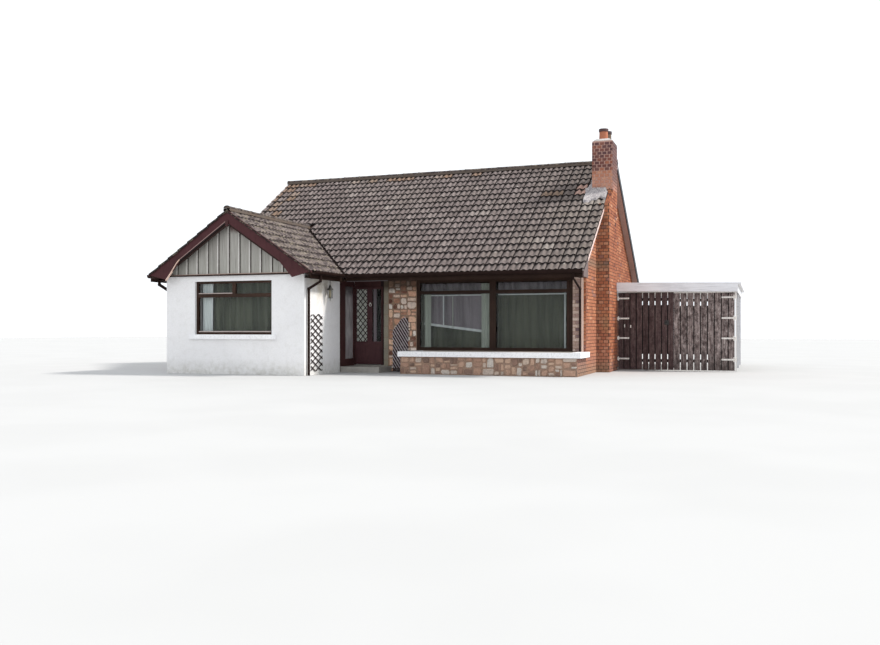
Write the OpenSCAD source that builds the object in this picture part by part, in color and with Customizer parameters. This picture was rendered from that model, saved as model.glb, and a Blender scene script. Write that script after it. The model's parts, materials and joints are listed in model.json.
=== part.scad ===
// Bungalow of the 1960s: a brick and render house with a gabled front wing,
// a deep roof overhang over picture windows, an outside chimney and a flat
// carport behind double timber gates. Millimetres, Z up. House coordinates:
// X 0 is the outer face of the right gable, Y 0 is the front end of the porch
// recess, Z 0 is the level ground. Every node is shifted so that the origin is
// the centre of the base.

/* [Main block] */
// Length between the outer faces of the two gables
main_w = 9027; // [8700:1:9400]
// Front face of the front wall (behind the deep overhang)
front_y = 771; // [700:1:850]
// Rear face of the rear wall
rear_y = 8050; // [7990:1:8100]
// Thickness of the outer walls
wall_t = 270; // [240:1:300]
// Top of the floor
floor_z = 150; // [120:1:180]
// Thickness of the outer brick leaf
leaf_t = 104; // [100:1:110]

/* [Roof] */
// Pitch of every slope in degrees
pitch = 33.6; // [32.5:0.1:34.5]
// Y of the front edge of the tiles
eave_y = -425; // [-440:1:-400]
// Height of the tiles at that edge
eave_z = 2236; // [2225:1:2250]
// Y of the ridge
ridge_y = 4028; // [4000:1:4060]
// Vertical thickness of tiles, battens and rafters
roof_t = 170; // [150:1:180]
// Overhang of the tiles past the gables
verge = 187; // [170:1:200]
// Radius of the ridge tiles
ridge_r = 78; // [70:1:90]

/* [Wing] */
// Centre of the wing
wing_x = -7274; // [-7300:1:-7260]
// Half the width of the wing, to the outer faces of its walls
wing_h = 1752; // [1735:1:1760]
// Front face of the wing
wing_y = -1663; // [-1700:1:-1640]
// Half the span of the wing's tiles, eave to eave
wing_e = 2062; // [2050:1:2075]
// Front edge of the wing's tiles
wing_ty = -1925; // [-1940:1:-1915]
// Level where the white wall stops and the boards begin
clad_z = 2195; // [2185:1:2205]

/* [Windows] */
// Left edge of the wing's window opening
ww_x0 = -8270; // [-8300:1:-8240]
// Right edge of the wing's window opening
ww_x1 = -6318; // [-6340:1:-6300]
// Bottom and top of the wing's window
ww_z0 = 872; // [860:1:880]
// Top of the wing's window
ww_z1 = 2045; // [2035:1:2060]
// Bottom of the picture windows
pw_z0 = 500; // [490:1:510]
// Head of the picture windows, and the soffit's level
head_z = 2130; // [2120:1:2140]
// Centre of a transom above the picture windows' bottom
transom_z = 1832; // [1820:1:1845]

/* [Entrance] */
// Right edge of the entrance opening, which is the stone panel's left edge
ent_x1 = -4756; // [-4780:1:-4740]
// Right edge of the stone panel
panel_x1 = -3935; // [-3950:1:-3920]
// Height of the front door's head
door_h = 1990; // [1975:1:2000]

/* [Chimney] */
// Front and rear face of the breast
br_y0 = 2083; // [2070:1:2095]
// Rear face of the breast
br_y1 = 3243; // [3235:1:3250]
// How far the breast stands out of the gable
br_p = 289; // [280:1:292]
// Front face of the stack
st_y0 = 2569; // [2560:1:2580]
// Left face of the stack, inside the roof
st_x0 = -184; // [-195:1:-175]
// Top of the brickwork of the stack
st_z = 5422; // [5400:1:5440]

/* [Planter] */
// Front face of the low stone wall
pl_y = -190; // [-200:1:-180]
// Top of the coping
cop_z = 499; // [490:1:499]
// Thickness of the coping
cop_t = 113; // [100:1:120]

/* [Carport and gates] */
// Right edge of the carport's roof
cp_x1 = 3128; // [3110:1:3170]
// Front face of the carport's fascia
cp_y0 = 3185; // [3180:1:3190]
// Rear end of the carport's roof
cp_y1 = 7900; // [7600:1:8000]
// Underside of the fascia at the house
cp_z0 = 1899; // [1895:1:1905]
// Underside of the fascia at the right end
cp_z1 = 1858; // [1856:1:1862]
// Depth of the fascia
cp_f = 212; // [200:1:220]
// Front face of the gate boards
gate_y = 3290; // [3288:1:3294]
// Where the two leaves meet
gate_m = 1618; // [1600:1:1630]
// Pitch of the gate boards
board_p = 148; // [144:1:150]

/* [Hidden] */

org = [-3125.5, 3314];          // centre of the base in house coordinates
tp = tan(pitch);
xl = -main_w;                   // outer face of the left gable
rear_e = 2*ridge_y - eave_y;    // rear edge of the tiles
ridge_z = eave_z + (ridge_y - eave_y)*tp;
wx0 = wing_x - wing_h;
wx1 = wing_x + wing_h;
ex0 = wing_x - wing_e;
ex1 = wing_x + wing_e;
wing_rz = eave_z + wing_e*tp;               // wing's ridge
val_y = eave_y + wing_e;                    // where that ridge meets the slope
door_x0 = wx1 + 25;                         // door leaf
door_x1 = ent_x1 - 47;
gap = 1;                                    // movement joint
under = roof_t + gap;                       // walls stop just under the slabs

function top_f(y) = eave_z + (y - eave_y)*tp;
function top_r(y) = ridge_z - (y - ridge_y)*tp;
function top_w(x) = wing_rz - abs(x - wing_x)*tp;

module at() translate([-org[0], -org[1], 0]) children();
module bx(a, b) translate(a) cube(b - a);
// YZ outline run along X, and XZ outline run along Y
module along_x(x0, x1, pts) translate([x0, 0, 0])
  multmatrix([[0,0,1,0],[1,0,0,0],[0,1,0,0],[0,0,0,1]])
    linear_extrude(x1 - x0) polygon(pts);
module along_y(y0, y1, pts) translate([0, y1, 0])
  rotate([90, 0, 0]) linear_extrude(y1 - y0) polygon(pts);
module rod(a, b, r) {
  v = b - a; l = norm(v);
  translate(a) rotate([0, acos(v[2]/l), atan2(v[1], v[0])])
    cylinder(h = l, r = r, $fn = 24);
}

// ---- ground floor --------------------------------------------------------
module floor_slab() at() color("#9a948a") {
  bx([xl + wall_t, front_y + wall_t + gap, 0], [-wall_t, rear_y - wall_t, floor_z]);
  bx([wx0 + wall_t, wing_y + wall_t, 0], [wx1 - wall_t, front_y + wall_t, floor_z]);
  // under the entrance, and the porch's paved step in front of it
  bx([wx1, front_y, 0], [ent_x1, front_y + wall_t, floor_z]);
  bx([wx1 - wall_t + gap, gap, 0], [wx1 - 81, front_y - gap, floor_z]);
  bx([wx1, 30, 0], [ent_x1 + 200, front_y - gap, floor_z - 20]);
  // in the rear doorway
  bx([-5699, rear_y - wall_t + gap, 0], [-4801, rear_y - 131, floor_z]);
}

module gable(x0, x1, y0) along_x(x0, x1, [[y0, 0], [rear_y, 0],
  [rear_y, top_r(rear_y) - under], [ridge_y, ridge_z - under],
  [y0, top_f(y0) - under]]);
left_y = eave_y + wx0 - ex0;    // where the valley crosses the left wall
module right_gable_wall() at() color("#a65a3c") gable(-wall_t, 0, front_y);
module left_gable_wall() at() color("#a65a3c") gable(xl, xl + wall_t, left_y);

// rear openings: [x0, x1, z0], all with the same head
rear_open = [[-8050, -6550, 900], [-5700, -4800, 0], [-4100, -2900, 1050], [-2150, -950, 900]];
rear_head = 2080;
module rear_wall() at() color("#a65a3c") {
  ys = [rear_y - wall_t, rear_y];
  edges = concat([xl + wall_t], [for (o = rear_open) each [o[0], o[1]]], [-wall_t]);
  for (i = [0:len(rear_open)])
    bx([edges[2*i] + gap, ys[0], 0], [edges[2*i + 1] - gap, ys[1], rear_head - gap]);
  for (o = rear_open) if (o[2] > 0)
    bx([o[0], ys[0], 0], [o[1], ys[1], o[2]]);
  along_x(xl + wall_t, -wall_t, [[ys[0], rear_head], [ys[1], rear_head],
    [ys[1], top_r(ys[1]) - under], [ys[0], top_r(ys[0]) - under]]);
}

// ---- wing ----------------------------------------------------------------
module wing_front_wall() at() color("#e9e6e0") {
  y0 = wing_y; y1 = wing_y + wall_t;
  bx([wx0, y0, 0], [ww_x0 - gap, y1, ww_z1 - gap]);
  bx([ww_x1 + gap, y0, 0], [wx1, y1, ww_z1 - gap]);
  bx([ww_x0, y0, 0], [ww_x1, y1, ww_z0]);
  bx([wx0, y0, ww_z1], [wx1, y1, clad_z]);
}
module wing_cladding() at() color("#8d8880")
  along_y(wing_y - 25, wing_y + wall_t, [[wx0, clad_z], [wx1, clad_z],
    [wx1, top_w(wx1) - under], [wing_x, wing_rz - under],
    [wx0, top_w(wx0) - under]]);
module wing_left_wall() at() color("#e9e6e0")
  along_y(wing_y + wall_t, left_y, [[wx0, 0], [wx0 + wall_t, 0],
    [wx0 + wall_t, top_w(wx0 + wall_t) - under], [wx0, top_w(wx0) - under]]);
module wing_right_wall() at() color("#e9e6e0") {
  along_y(wing_y + wall_t, 0, [[wx1 - wall_t, 0], [wx1, 0],
    [wx1, top_w(wx1) - under], [wx1 - wall_t, top_w(wx1 - wall_t) - under]]);
  along_y(gap, front_y, [[wx1 - wall_t, head_z], [wx1, head_z],
    [wx1, top_w(wx1) - under], [wx1 - wall_t, top_w(wx1 - wall_t) - under]]);
  bx([wx1 - wall_t + gap, front_y, 0], [wx1 - gap, front_y + wall_t, head_z - gap]);
}

// ---- front wall of the main block ----------------------------------------
module stone_facings() at() color("#a98d7a") {
  bx([ent_x1, front_y, 0], [panel_x1, front_y + wall_t, head_z]);
  bx([-wall_t - 9, front_y - 30, pw_z0], [-leaf_t - 8, front_y, head_z]);
}
module front_wall() at() color("#b59a86") {
  bx([panel_x1, front_y, 0], [-wall_t, front_y + wall_t, pw_z0]);
  along_x(wx1 - wall_t, -wall_t, [[front_y, head_z], [front_y + wall_t, head_z],
    [front_y + wall_t, top_f(front_y + wall_t) - under],
    [front_y, top_f(front_y) - under]]);
}

// ---- low wall under the picture windows ----------------------------------
module planter_front_wall() at() color("#b0a69a")
  bx([panel_x1, pl_y, 0], [0, pl_y + 105, cop_z - cop_t]);
module planter_end_walls() at() color("#a65a3c") {
  bx([-leaf_t, pl_y + 105, 0], [0, front_y, cop_z - cop_t]);
  bx([panel_x1, pl_y + 105, 0], [panel_x1 + leaf_t, front_y, cop_z - cop_t]);
}
module planter_coping() at() color("#f2f0ec") {
  z = cop_z - cop_t;
  bx([panel_x1 - 50, pl_y - 55, z], [88, pl_y + 150, cop_z]);
  for (x = [[panel_x1 - 50, panel_x1 + 160], [-160, 88]])
    bx([x[0], pl_y + 150 + gap, z], [x[1], front_y, cop_z]);
}

// ---- roofs ---------------------------------------------------------------
// section of a slope from its eave (y0, z0) up to the ridge, thin at the nose
// and cut level at z over the eaves' soffit
function cut_y(z) = eave_y + (z + roof_t - eave_z)/tp;
module slope_x(x0, x1, z) along_x(x0, x1, [[eave_y, eave_z], [eave_y, eave_z - 45],
  [eave_y + 65, top_f(eave_y + 65) - 45 - 34], [eave_y + 65, z], [cut_y(z), z],
  [ridge_y, ridge_z - roof_t], [ridge_y, ridge_z]]);
// only the tiles, where they pass over a verge board
module tiles_x(x0, x1) along_x(x0, x1, [[eave_y, eave_z], [eave_y, eave_z - 45],
  [ridge_y, ridge_z - 45], [ridge_y, ridge_z]]);
vl = xl - verge + 38;           // left verge
module plan(pts) translate([0, 0, 1000]) linear_extrude(5000) polygon(pts);
// room for the breast and the stack in the verge
module chimney_cut() {
  bx([st_x0, st_y0, 2500], [br_p, br_y1, 6000]);
}
module main_roof_front() at() color("#6e6660") difference() {
  union() {
    intersection() {
      union() {
        slope_x(wing_x + gap/2, verge - 31, head_z + 21);
        tiles_x(verge - 32, verge);
      }
      plan([[wing_x + gap/2, val_y - gap/2], [ex1, eave_y], [verge, eave_y],
        [verge, ridge_y], [wing_x + gap/2, ridge_y]]);
    }
    intersection() {
      union() {
        slope_x(vl + 31, wing_x - gap/2, head_z + 21);
        tiles_x(vl, vl + 32);
      }
      plan([[wing_x - gap/2, val_y - gap/2], [wing_x - gap/2, ridge_y],
        [vl, ridge_y], [vl, eave_y + vl - ex0]]);
    }
  }
  chimney_cut();
}
module main_roof_rear() at() color("#6e6660") difference() {
  translate([0, 2*ridge_y, 0]) mirror([0, 1, 0]) {
    slope_x(vl + 31, verge - 31, box_z + 33);
    tiles_x(vl, vl + 32);
    tiles_x(verge - 32, verge);
  }
  bx([xl - verge, ridge_y - 1, 2000], [verge + 1, ridge_y, 6000]);
}
module wing_roof() at() color("#6e6660")
  for (s = [-1, 1]) intersection() {
    translate([wing_x, 0, 0]) mirror([s > 0 ? 0 : 1, 0, 0]) {
      along_y(wing_ty + 48, val_y, [[gap/2, wing_rz - gap/2*tp], [wing_e, eave_z],
        [wing_e, eave_z - 45], [wing_e - 65, eave_z + 65*tp - 79],
        [wing_e - 65, eave_z + 65*tp - roof_t], [gap/2, wing_rz - roof_t - gap/2*tp]]);
      along_y(wing_ty, wing_ty + 49, [[gap/2, wing_rz - gap/2*tp], [wing_e, eave_z],
        [wing_e, eave_z - 45], [gap/2, wing_rz - 45 - gap/2*tp]]);
    }
    plan([[wing_x, wing_ty], [wing_x + s*wing_e, wing_ty],
      [wing_x + s*wing_e, eave_y - gap], [wing_x, val_y - gap]]);
  }
module ridge_tiles() at() color("#5c5550") {
  // main ridge, stopped by nothing but its two verges
  translate([vl, ridge_y, 0]) intersection() {
    translate([0, 0, ridge_z + 52 - ridge_r]) rotate([0, 90, 0])
      cylinder(h = main_w + 2*verge - 38, r = ridge_r, $fn = 32);
    along_x(-1, main_w + 2*verge, [[-130, ridge_z - 130*tp + .5], [0, ridge_z + .5],
      [130, ridge_z - 130*tp + .5], [130, ridge_z + 200], [-130, ridge_z + 200]]);
  }
  // wing's ridge, up to the main slope
  difference() {
    translate([wing_x, 0, 0]) intersection() {
      translate([0, val_y + 80, wing_rz + 52 - ridge_r]) rotate([90, 0, 0])
        cylinder(h = val_y + 80 - wing_ty, r = ridge_r, $fn = 32);
      along_y(wing_ty - 1, val_y + 81, [[-130, wing_rz - 130*tp + .5], [0, wing_rz + .5],
        [130, wing_rz - 130*tp + .5], [130, wing_rz + 200], [-130, wing_rz + 200]]);
    }
    along_x(wing_x - 300, wing_x + 300, [[eave_y, eave_z + 1], [ridge_y, ridge_z + 1],
      [ridge_y, 2000], [eave_y, 2000]]);
  }
}

// ---- boards at the roof's edges ------------------------------------------
box_z = 2078;                   // underside of the boxed ends and fascias
module wing_barge_boards() at() color("#4a2226")
  for (s = [-1, 1]) translate([wing_x, 0, 0]) mirror([s > 0 ? 0 : 1, 0, 0])
    // each board widens into the end of the boxed eave
    along_y(wing_ty + 22, wing_ty + 47, [[gap/2, wing_rz - 46 - gap/2*tp],
      [gap/2, wing_rz - 312], [1242, wing_rz - 312 - 1242*tp], [1588, 2083],
      [wing_e - 50, 2190], [wing_e - 22, eave_z - 46 + 22*tp]]);
module verge_boards() at() color("#d9cdc2") {
  // right gable: front slope up to the chimney, from there to the ridge, rear slope
  along_x(verge - 30, verge - 5, [[eave_y + 22, top_f(eave_y + 22) - 46],
    [eave_y + 22, box_z - 20], [77, box_z - 20], [77, top_f(77) - 190],
    [br_y0 - gap, top_f(br_y0) - 190], [br_y0 - gap, top_f(br_y0) - 46]]);
  along_x(verge - 30, verge - 5, [[br_y1 + gap, top_f(br_y1) - 190],
    [br_y1 + gap, top_f(br_y1) - 46], [ridge_y - gap, ridge_z - 46],
    [ridge_y - gap, ridge_z - 190]]);
  along_x(verge - 30, verge - 5, [[rear_e - 22, top_r(rear_e - 22) - 46],
    [rear_e - 22, box_z - 20], [rear_y + 20, box_z - 20],
    [rear_y + 20, top_r(rear_y + 20) - 190], [ridge_y, ridge_z - 190], [ridge_y, ridge_z - 46]]);
  // left gable
  x0 = vl + 5; x1 = x0 + 25;
  along_x(x0, x1, [[-200, top_f(-200) - 46], [-200, top_f(-200) - 190],
    [ridge_y - gap, ridge_z - 190], [ridge_y - gap, ridge_z - 46]]);
  along_x(x0, x1, [[rear_e - 22, top_r(rear_e - 22) - 46], [rear_e - 22, box_z - 20],
    [rear_y + 20, box_z - 20], [rear_y + 20, top_r(rear_y + 20) - 190],
    [ridge_y, ridge_z - 190], [ridge_y, ridge_z - 46]]);
}
module fascia_boards() at() color("#4a2226") {
  z0 = 2050; fy = eave_y + 40;
  bx([ex1 + 45, fy, z0], [verge - 31, fy + 24, eave_z - 40]);
  bx([vl + 31, rear_e - 64, z0], [verge - 31, rear_e - 40, eave_z - 40]);
  bx([ex0 + 65, fy, z0], [wx0 - gap, fy + 24, box_z + 30]);
  for (s = [-1, 1]) {
    xf = wing_x + s*(wing_e - 52);
    bx([xf - 12, wing_ty + 48, z0], [xf + 12, fy + 24, eave_z - 40]);
  }
}
// deep half-round gutter running along X, its higher lip on side s (-1 or 1) of Y
module trough(l, s) difference() {
  union() {
    rotate([0, 90, 0]) cylinder(h = l, r = 56, $fn = 32);
    translate([0, s > 0 ? 52 : -56, -1]) cube([l, 4, 25]);
  }
  translate([-1, 0, 0]) rotate([0, 90, 0]) cylinder(h = l + 2, r = 52, $fn = 32);
  translate([-1, -51.9, 0]) cube([l + 2, 103.8, 60]);
  translate([-1, s > 0 ? -60 : 51, 0]) cube([l + 2, 9, 60]);
}
module gutters() at() color("#2b2220") {
  gz = 2186; gy = eave_y + 40 - 57;
  translate([ex1 + 75, gy, gz]) trough(verge - 31 - (ex1 + 75), -1);
  translate([vl + 31, rear_e - 40 + 57, gz]) trough(verge - 62 - vl, 1);
  translate([ex1 - 40 + 57, wing_y - 200, gz]) rotate([0, 0, 90]) trough(eave_y - 80 - (wing_y - 200), -1);
  translate([ex0 + 40 - 57, wing_y - 200, gz]) rotate([0, 0, 90]) trough(eave_y - (wing_y - 200), 1);
}
module pipe(p, r = 34) union() {
  for (i = [0:len(p) - 2]) rod(p[i], p[i + 1], r);
  for (i = [1:len(p) - 2]) translate(p[i]) sphere(r = r + 5, $fn = 32);
}
module downpipes() at() color("#2b2220") {
  gy = eave_y - 17;
  // right front, with a swan-neck back to the pier
  pipe([[-25, gy, 2128], [-25, gy, 2020], [-111, 700, 1860], [-111, 700, cop_z]], 22);
  // right side of the wing
  pipe([[ex1 + 17, -1550, 2128], [ex1 + 17, -1550, 2005], [wx1 + 46, -1550, 1850], [wx1 + 46, -1550, 0]], 27);
  // left side of the wing
  pipe([[ex0 - 17, -1500, 2128], [ex0 - 17, -1500, 2005], [wx0 - 46, -1500, 1850], [wx0 - 46, -1500, 0]]);
  // rear
  for (x = [-8600, -500])
    pipe([[x, rear_e + 17, 2128], [x, rear_e + 17, 2005], [x, rear_y + 46, 1800], [x, rear_y + 46, 0]]);
}
module soffits() at() color("#4a3a36") {
  bx([wx1 + 8, -130, head_z], [ex1, front_y - gap, head_z + 20]);
  bx([ex1 + gap, eave_y + 65, head_z], [-8, front_y - gap, head_z + 20]);
  // boarded triangle that closes the deep eaves at the right gable
  along_x(-31, -6, [[cut_y(head_z + 22), head_z + 21], [front_y - gap, head_z + 21],
    [front_y - gap, top_f(front_y - gap) - roof_t - gap]]);
  bx([0, eave_y + 65, box_z - 18], [verge - 31, 77, box_z]);
  bx([vl + 31, rear_y + gap, box_z], [verge - 31, rear_e - 65, box_z + 18]);
  bx([ex0 + 66, wing_y, box_z], [wx0 - gap, eave_y + 39, box_z + 18]);
  bx([wx1 + gap, wing_y, box_z], [ex1 - 66, -101, box_z + 18]);
  bx([ex1 - 65, eave_y + 65, box_z], [ex1, -101, box_z + 18]);
}

// ---- windows -------------------------------------------------------------
// a frame with one opening above and one below its transom
module frame(x0, x1, z0, z1, y0, f = 62, tz = 0, t = 84, d = 70) difference() {
  bx([x0, y0, z0], [x1, y0 + d, z1]);
  if (tz > 0) {
    bx([x0 + f, y0 - 1, z0 + f], [x1 - f, y0 + d + 1, tz - t/2]);
    bx([x0 + f, y0 - 1, tz + t/2], [x1 - f, y0 + d + 1, z1 - f]);
  } else bx([x0 + f, y0 - 1, z0 + f], [x1 - f, y0 + d + 1, z1 - f]);
}
pw_m = (panel_x1 - wall_t - 9)/2;         // middle of the picture windows
pw = [[panel_x1, pw_m - gap], [pw_m, -wall_t - 9 - gap]];
module window_frames() at() color("#3a2420") {
  for (w = pw) frame(w[0], w[1], pw_z0, head_z, front_y + 25, 74, transom_z, 72);
  frame(ww_x0, ww_x1, ww_z0, ww_z1, wing_y + 60, 50, 1730, 78);
  bx([-7343, wing_y + 62, 1769.5], [-7261, wing_y + 128, ww_z1 - 50.5]);
  for (o = rear_open) if (o[2] > 0)
    frame(o[0], o[1], o[2], rear_head, rear_y - 130, 60, 1700, 60);
}
module pane(x0, x1, z0, z1, y0, f) bx([x0 + f, y0, z0 + f], [x1 - f, y0 + 20, z1 - f]);
module window_glass() at() color([.35, .42, .45, .45]) {
  for (w = pw) {
    bx([w[0] + 74, front_y + 50, pw_z0 + 74], [w[1] - 74, front_y + 70, transom_z - 36]);
    bx([w[0] + 74, front_y + 50, transom_z + 36], [w[1] - 74, front_y + 70, head_z - 74]);
  }
  bx([ww_x0 + 50, wing_y + 85, ww_z0 + 50], [ww_x1 - 50, wing_y + 105, 1730 - 39]);
  bx([ww_x0 + 50, wing_y + 85, 1730 + 39], [-7343, wing_y + 105, ww_z1 - 50]);
  bx([-7261, wing_y + 85, 1730 + 39], [ww_x1 - 50, wing_y + 105, ww_z1 - 50]);
  for (o = rear_open) if (o[2] > 0) {
    bx([o[0] + 60, rear_y - 105, o[2] + 60], [o[1] - 60, rear_y - 85, 1670]);
    bx([o[0] + 60, rear_y - 105, 1730], [o[1] - 60, rear_y - 85, rear_head - 60]);
  }
  bx([wx1 - 50, 290, 300], [wx1 - 30, 742, door_h]);
}
module window_cills() at() color("#f2f0ec") {
  bx([ww_x0 - 120, wing_y - 55, ww_z0 - 100], [ww_x1 + 120, wing_y - gap/2, ww_z0]);
  for (o = rear_open) if (o[2] > 0)
    bx([o[0] - 75, rear_y + gap/2, o[2] - 75], [o[1] + 75, rear_y + 45, o[2]]);
}

// ---- entrance ------------------------------------------------------------
module entrance_frame() at() color("#3d1f22") {
  // jambs and head round the door
  bx([wx1, front_y + 4, floor_z], [wx1 + 20, front_y + 58, door_h]);
  bx([ent_x1 - 38, front_y + 4, floor_z], [ent_x1, front_y + 58, door_h]);
  bx([wx1, front_y + 4, door_h + gap], [ent_x1, front_y + 58, head_z - gap]);
  // side light in the wing's return wall: two posts, a panel and a head
  bx([wx1 - 80, gap, 0], [wx1, 290, head_z - gap]);
  bx([wx1 - 80, 742, 0], [wx1, front_y - gap, head_z - gap]);
  bx([wx1 - 80, 291, 0], [wx1, 741, 300]);
  bx([wx1 - 80, 291, door_h], [wx1, 741, head_z - gap]);
}
module front_door() at() color("#2e1c1e") {
  y0 = front_y + 14; y1 = y0 + 44; z0 = floor_z + 15; z1 = door_h - 8;
  difference() {
    bx([door_x0, y0, z0], [door_x1, y1, z1]);
    bx([door_x0 + 24, y0 - 1, 700], [door_x0 + 302, y1 + 1, z1 - 48]);
    bx([door_x0 + 434, y0 - 1, 700], [door_x1 - 28, y1 + 1, z1 - 48]);
  }
  // knuckles on the inner face, on the hinge's axis
  for (z = [330, 1050, 1770]) {
    translate([door_x0 - 2.5, y1 + 8, z]) cylinder(h = 90, r = 7, $fn = 32);
    bx([door_x0 - 2, y1 - 1, z], [door_x0 + 32, y1 + 2.5, z + 90]);
    bx([door_x0 - 2, y1 + 1, z], [door_x0 + 1, y1 + 8, z + 90]);
  }
  translate([door_x0 + 368, y0 - 34, 1240]) rotate([-90, 0, 0]) cylinder(h = 34, r = 8, $fn = 24);
  translate([door_x0 + 368, y0 - 44, 1240]) sphere(r = 22, $fn = 32);
}
module front_door_glass() at() color([.3, .4, .4, .5]) {
  y0 = front_y + 30; z1 = door_h - 8;
  bx([door_x0 + 24, y0, 700], [door_x0 + 302, y0 + 12, z1 - 48]);
  bx([door_x0 + 434, y0, 700], [door_x1 - 28, y0 + 12, z1 - 48]);
}
module rear_door() at() color("#3d1f22")
  bx([-5700, rear_y - 130, 0], [-4800, rear_y - 70, rear_head - gap]);

// ---- chimney -------------------------------------------------------------
module chimney_breast() at() color("#a65a3c") difference() {
  along_x(0, br_p, [[br_y0, 0], [br_y1, 0], [br_y1, 4000], [st_y0, 4000],
    [st_y0, top_f(st_y0) - 20], [br_y0, top_f(br_y0) - 20]]);
  slope_x(-1, verge, head_z + 21);
}
module chimney_stack() at() color("#a65a3c") difference() {
  bx([st_x0, st_y0, 4000], [br_p, br_y1, st_z]);
  gable(-wall_t, 0, front_y);
  bx([0, st_y0 - 1, 3000], [br_p + 1, st_y0, top_f(st_y0)]);
}
pot_dx = 32;                    // the rear pot stands further out
module chimney_flaunching() at() color("#d8d2c8") {
  cx = (st_x0 + br_p)/2; cy = (st_y0 + br_y1)/2;
  difference() {
    hull() {
      bx([st_x0 + 25, st_y0 + 25, st_z], [br_p - 25, br_y1 - 25, st_z + 20]);
      bx([cx - 150, cy - 290, st_z], [cx + 150, cy + 290, st_z + 58]);
    }
    for (s = [-1, 1]) translate([cx + pot_dx*(s + 1)/2, cy + s*155, st_z - 1]) cylinder(h = 200, r = 107, $fn = 48);
  }
}
module chimney_pots() at() {
  cx = (st_x0 + br_p)/2; cy = (st_y0 + br_y1)/2;
  color("#a8543a") for (s = [-1, 1]) translate([cx + pot_dx*(s + 1)/2, cy + s*155, st_z])
    rotate_extrude($fn = 48) polygon([[78, 0], [106.5, 0], [98, 235], [112, 250],
      [112, 308], [84, 308], [84, 60], [78, 60]]);
}
module chimney_flashing() at() color("#e4ddd6") difference() {
  // apron in front of the stack and a fillet up its left side
  intersection() {
    along_x(st_x0 - 220, verge, [[st_y0 - 190, top_f(st_y0 - 190) + 1],
      [st_y0 - 190, top_f(st_y0 - 190) + 18], [st_y0 - 25, top_f(st_y0 - 25) + 30],
      [st_y0 - 25, top_f(st_y0) + 160], [st_y0, top_f(st_y0) + 170],
      [br_y1, top_f(br_y1) + 170], [br_y1, top_f(br_y1) + 1]]);
    plan([[st_x0 - 220, st_y0 - 190], [verge, st_y0 - 190], [verge, br_y1],
      [st_x0 - 30, br_y1], [st_x0 - 30, br_y1 - 40]]);
  }
  bx([st_x0, st_y0, 3000], [br_p + 10, br_y1 + 10, 6000]);
}

// ---- carport -------------------------------------------------------------
function cpz(x) = cp_z0 + (cp_z1 - cp_z0)*(x - br_p)/(3000 - br_p);
cp_e0 = cp_z1 + cp_f - 48;         // underside of the roof's thin right edge
module carport_roof() at() color("#77746e") difference() {
  along_y(cp_y0 + 25, cp_y1, [[0, cpz(0) + 80], [3031, cpz(3031) + 80], [3031, cp_e0 + gap],
    [cp_x1 - 25, cp_e0 + gap], [cp_x1 - 25, cpz(cp_x1) + cp_f - 12], [0, cpz(0) + cp_f - 12]]);
  bx([-1, 2000, 1000], [br_p + 4, br_y1 + 4, 3000]);
}
module carport_fascia() at() color("#ece9e3") {
  along_y(cp_y0, cp_y0 + 24, [[br_p + 5, cpz(br_p)], [3056, cpz(3056)], [3056, cp_e0],
    [cp_x1, cp_e0], [cp_x1, cpz(cp_x1) + cp_f], [br_p + 5, cpz(br_p) + cp_f]]);
  bx([3032, cp_y0 + 25, cpz(3056)], [3056, cp_y1 - 25, cp_e0]);
  bx([cp_x1 - 24, cp_y0 + 25, cp_e0], [cp_x1, cp_y1 - 25, cpz(cp_x1) + cp_f]);
  along_y(cp_y1 + gap, cp_y1 + 25, [[5, cpz(0)], [3056, cpz(3056)], [3056, cp_e0],
    [cp_x1 - 25, cp_e0], [cp_x1 - 25, cpz(cp_x1) + cp_f], [5, cpz(0) + cp_f]]);
}
module carport_posts() at() color("#ece9e3") {
  for (y = [5500, 7700]) bx([2980, y, 0], [3030, y + 50, cpz(3030) + 79]);
  bx([2, 3900, 1750], [47, cp_y1 - 30, cpz(47) + 79]);
}

// ---- gates ---------------------------------------------------------------
gz0 = 25;
gz_gap = 22;                    // open joint between two boards
hinge_z = [282, 777, 1249, 1732];
px_l = 302; px_r = 2995; py = gate_y - 8;
module gate_posts() at() color("#e6e2da") {
  bx([190, gate_y, 0], [284, gate_y + 90, 1860]);
  bx([3004, gate_y, 0], [3031, gate_y + 70, cpz(3031) + 79]);
}
// plates and pins that carry the straps
module gate_pins() at() color("#e8e6e2") {
  for (z = hinge_z) {
    bx([205, gate_y - 5, z - 60], [px_l - 12, gate_y, z + 60]);
    translate([px_l, py, z - 34]) cylinder(h = 68, r = 5, $fn = 24);
    for (dz = [-34, 28]) {
      bx([px_l - 14, gate_y - 6, z + dz], [px_l, gate_y, z + dz + 6]);
      translate([px_l, py, z + dz]) cylinder(h = 6, r = 9, $fn = 24);
    }
    bx([px_r + 12, gate_y - 5, z - 60], [3030, gate_y, z + 60]);
    translate([px_r, py, z - 34]) cylinder(h = 68, r = 5, $fn = 24);
    for (dz = [-34, 28]) {
      bx([px_r, gate_y - 6, z + dz], [px_r + 14, gate_y, z + dz + 6]);
      translate([px_r, py, z + dz]) cylinder(h = 6, r = 9, $fn = 24);
    }
  }
}
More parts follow.
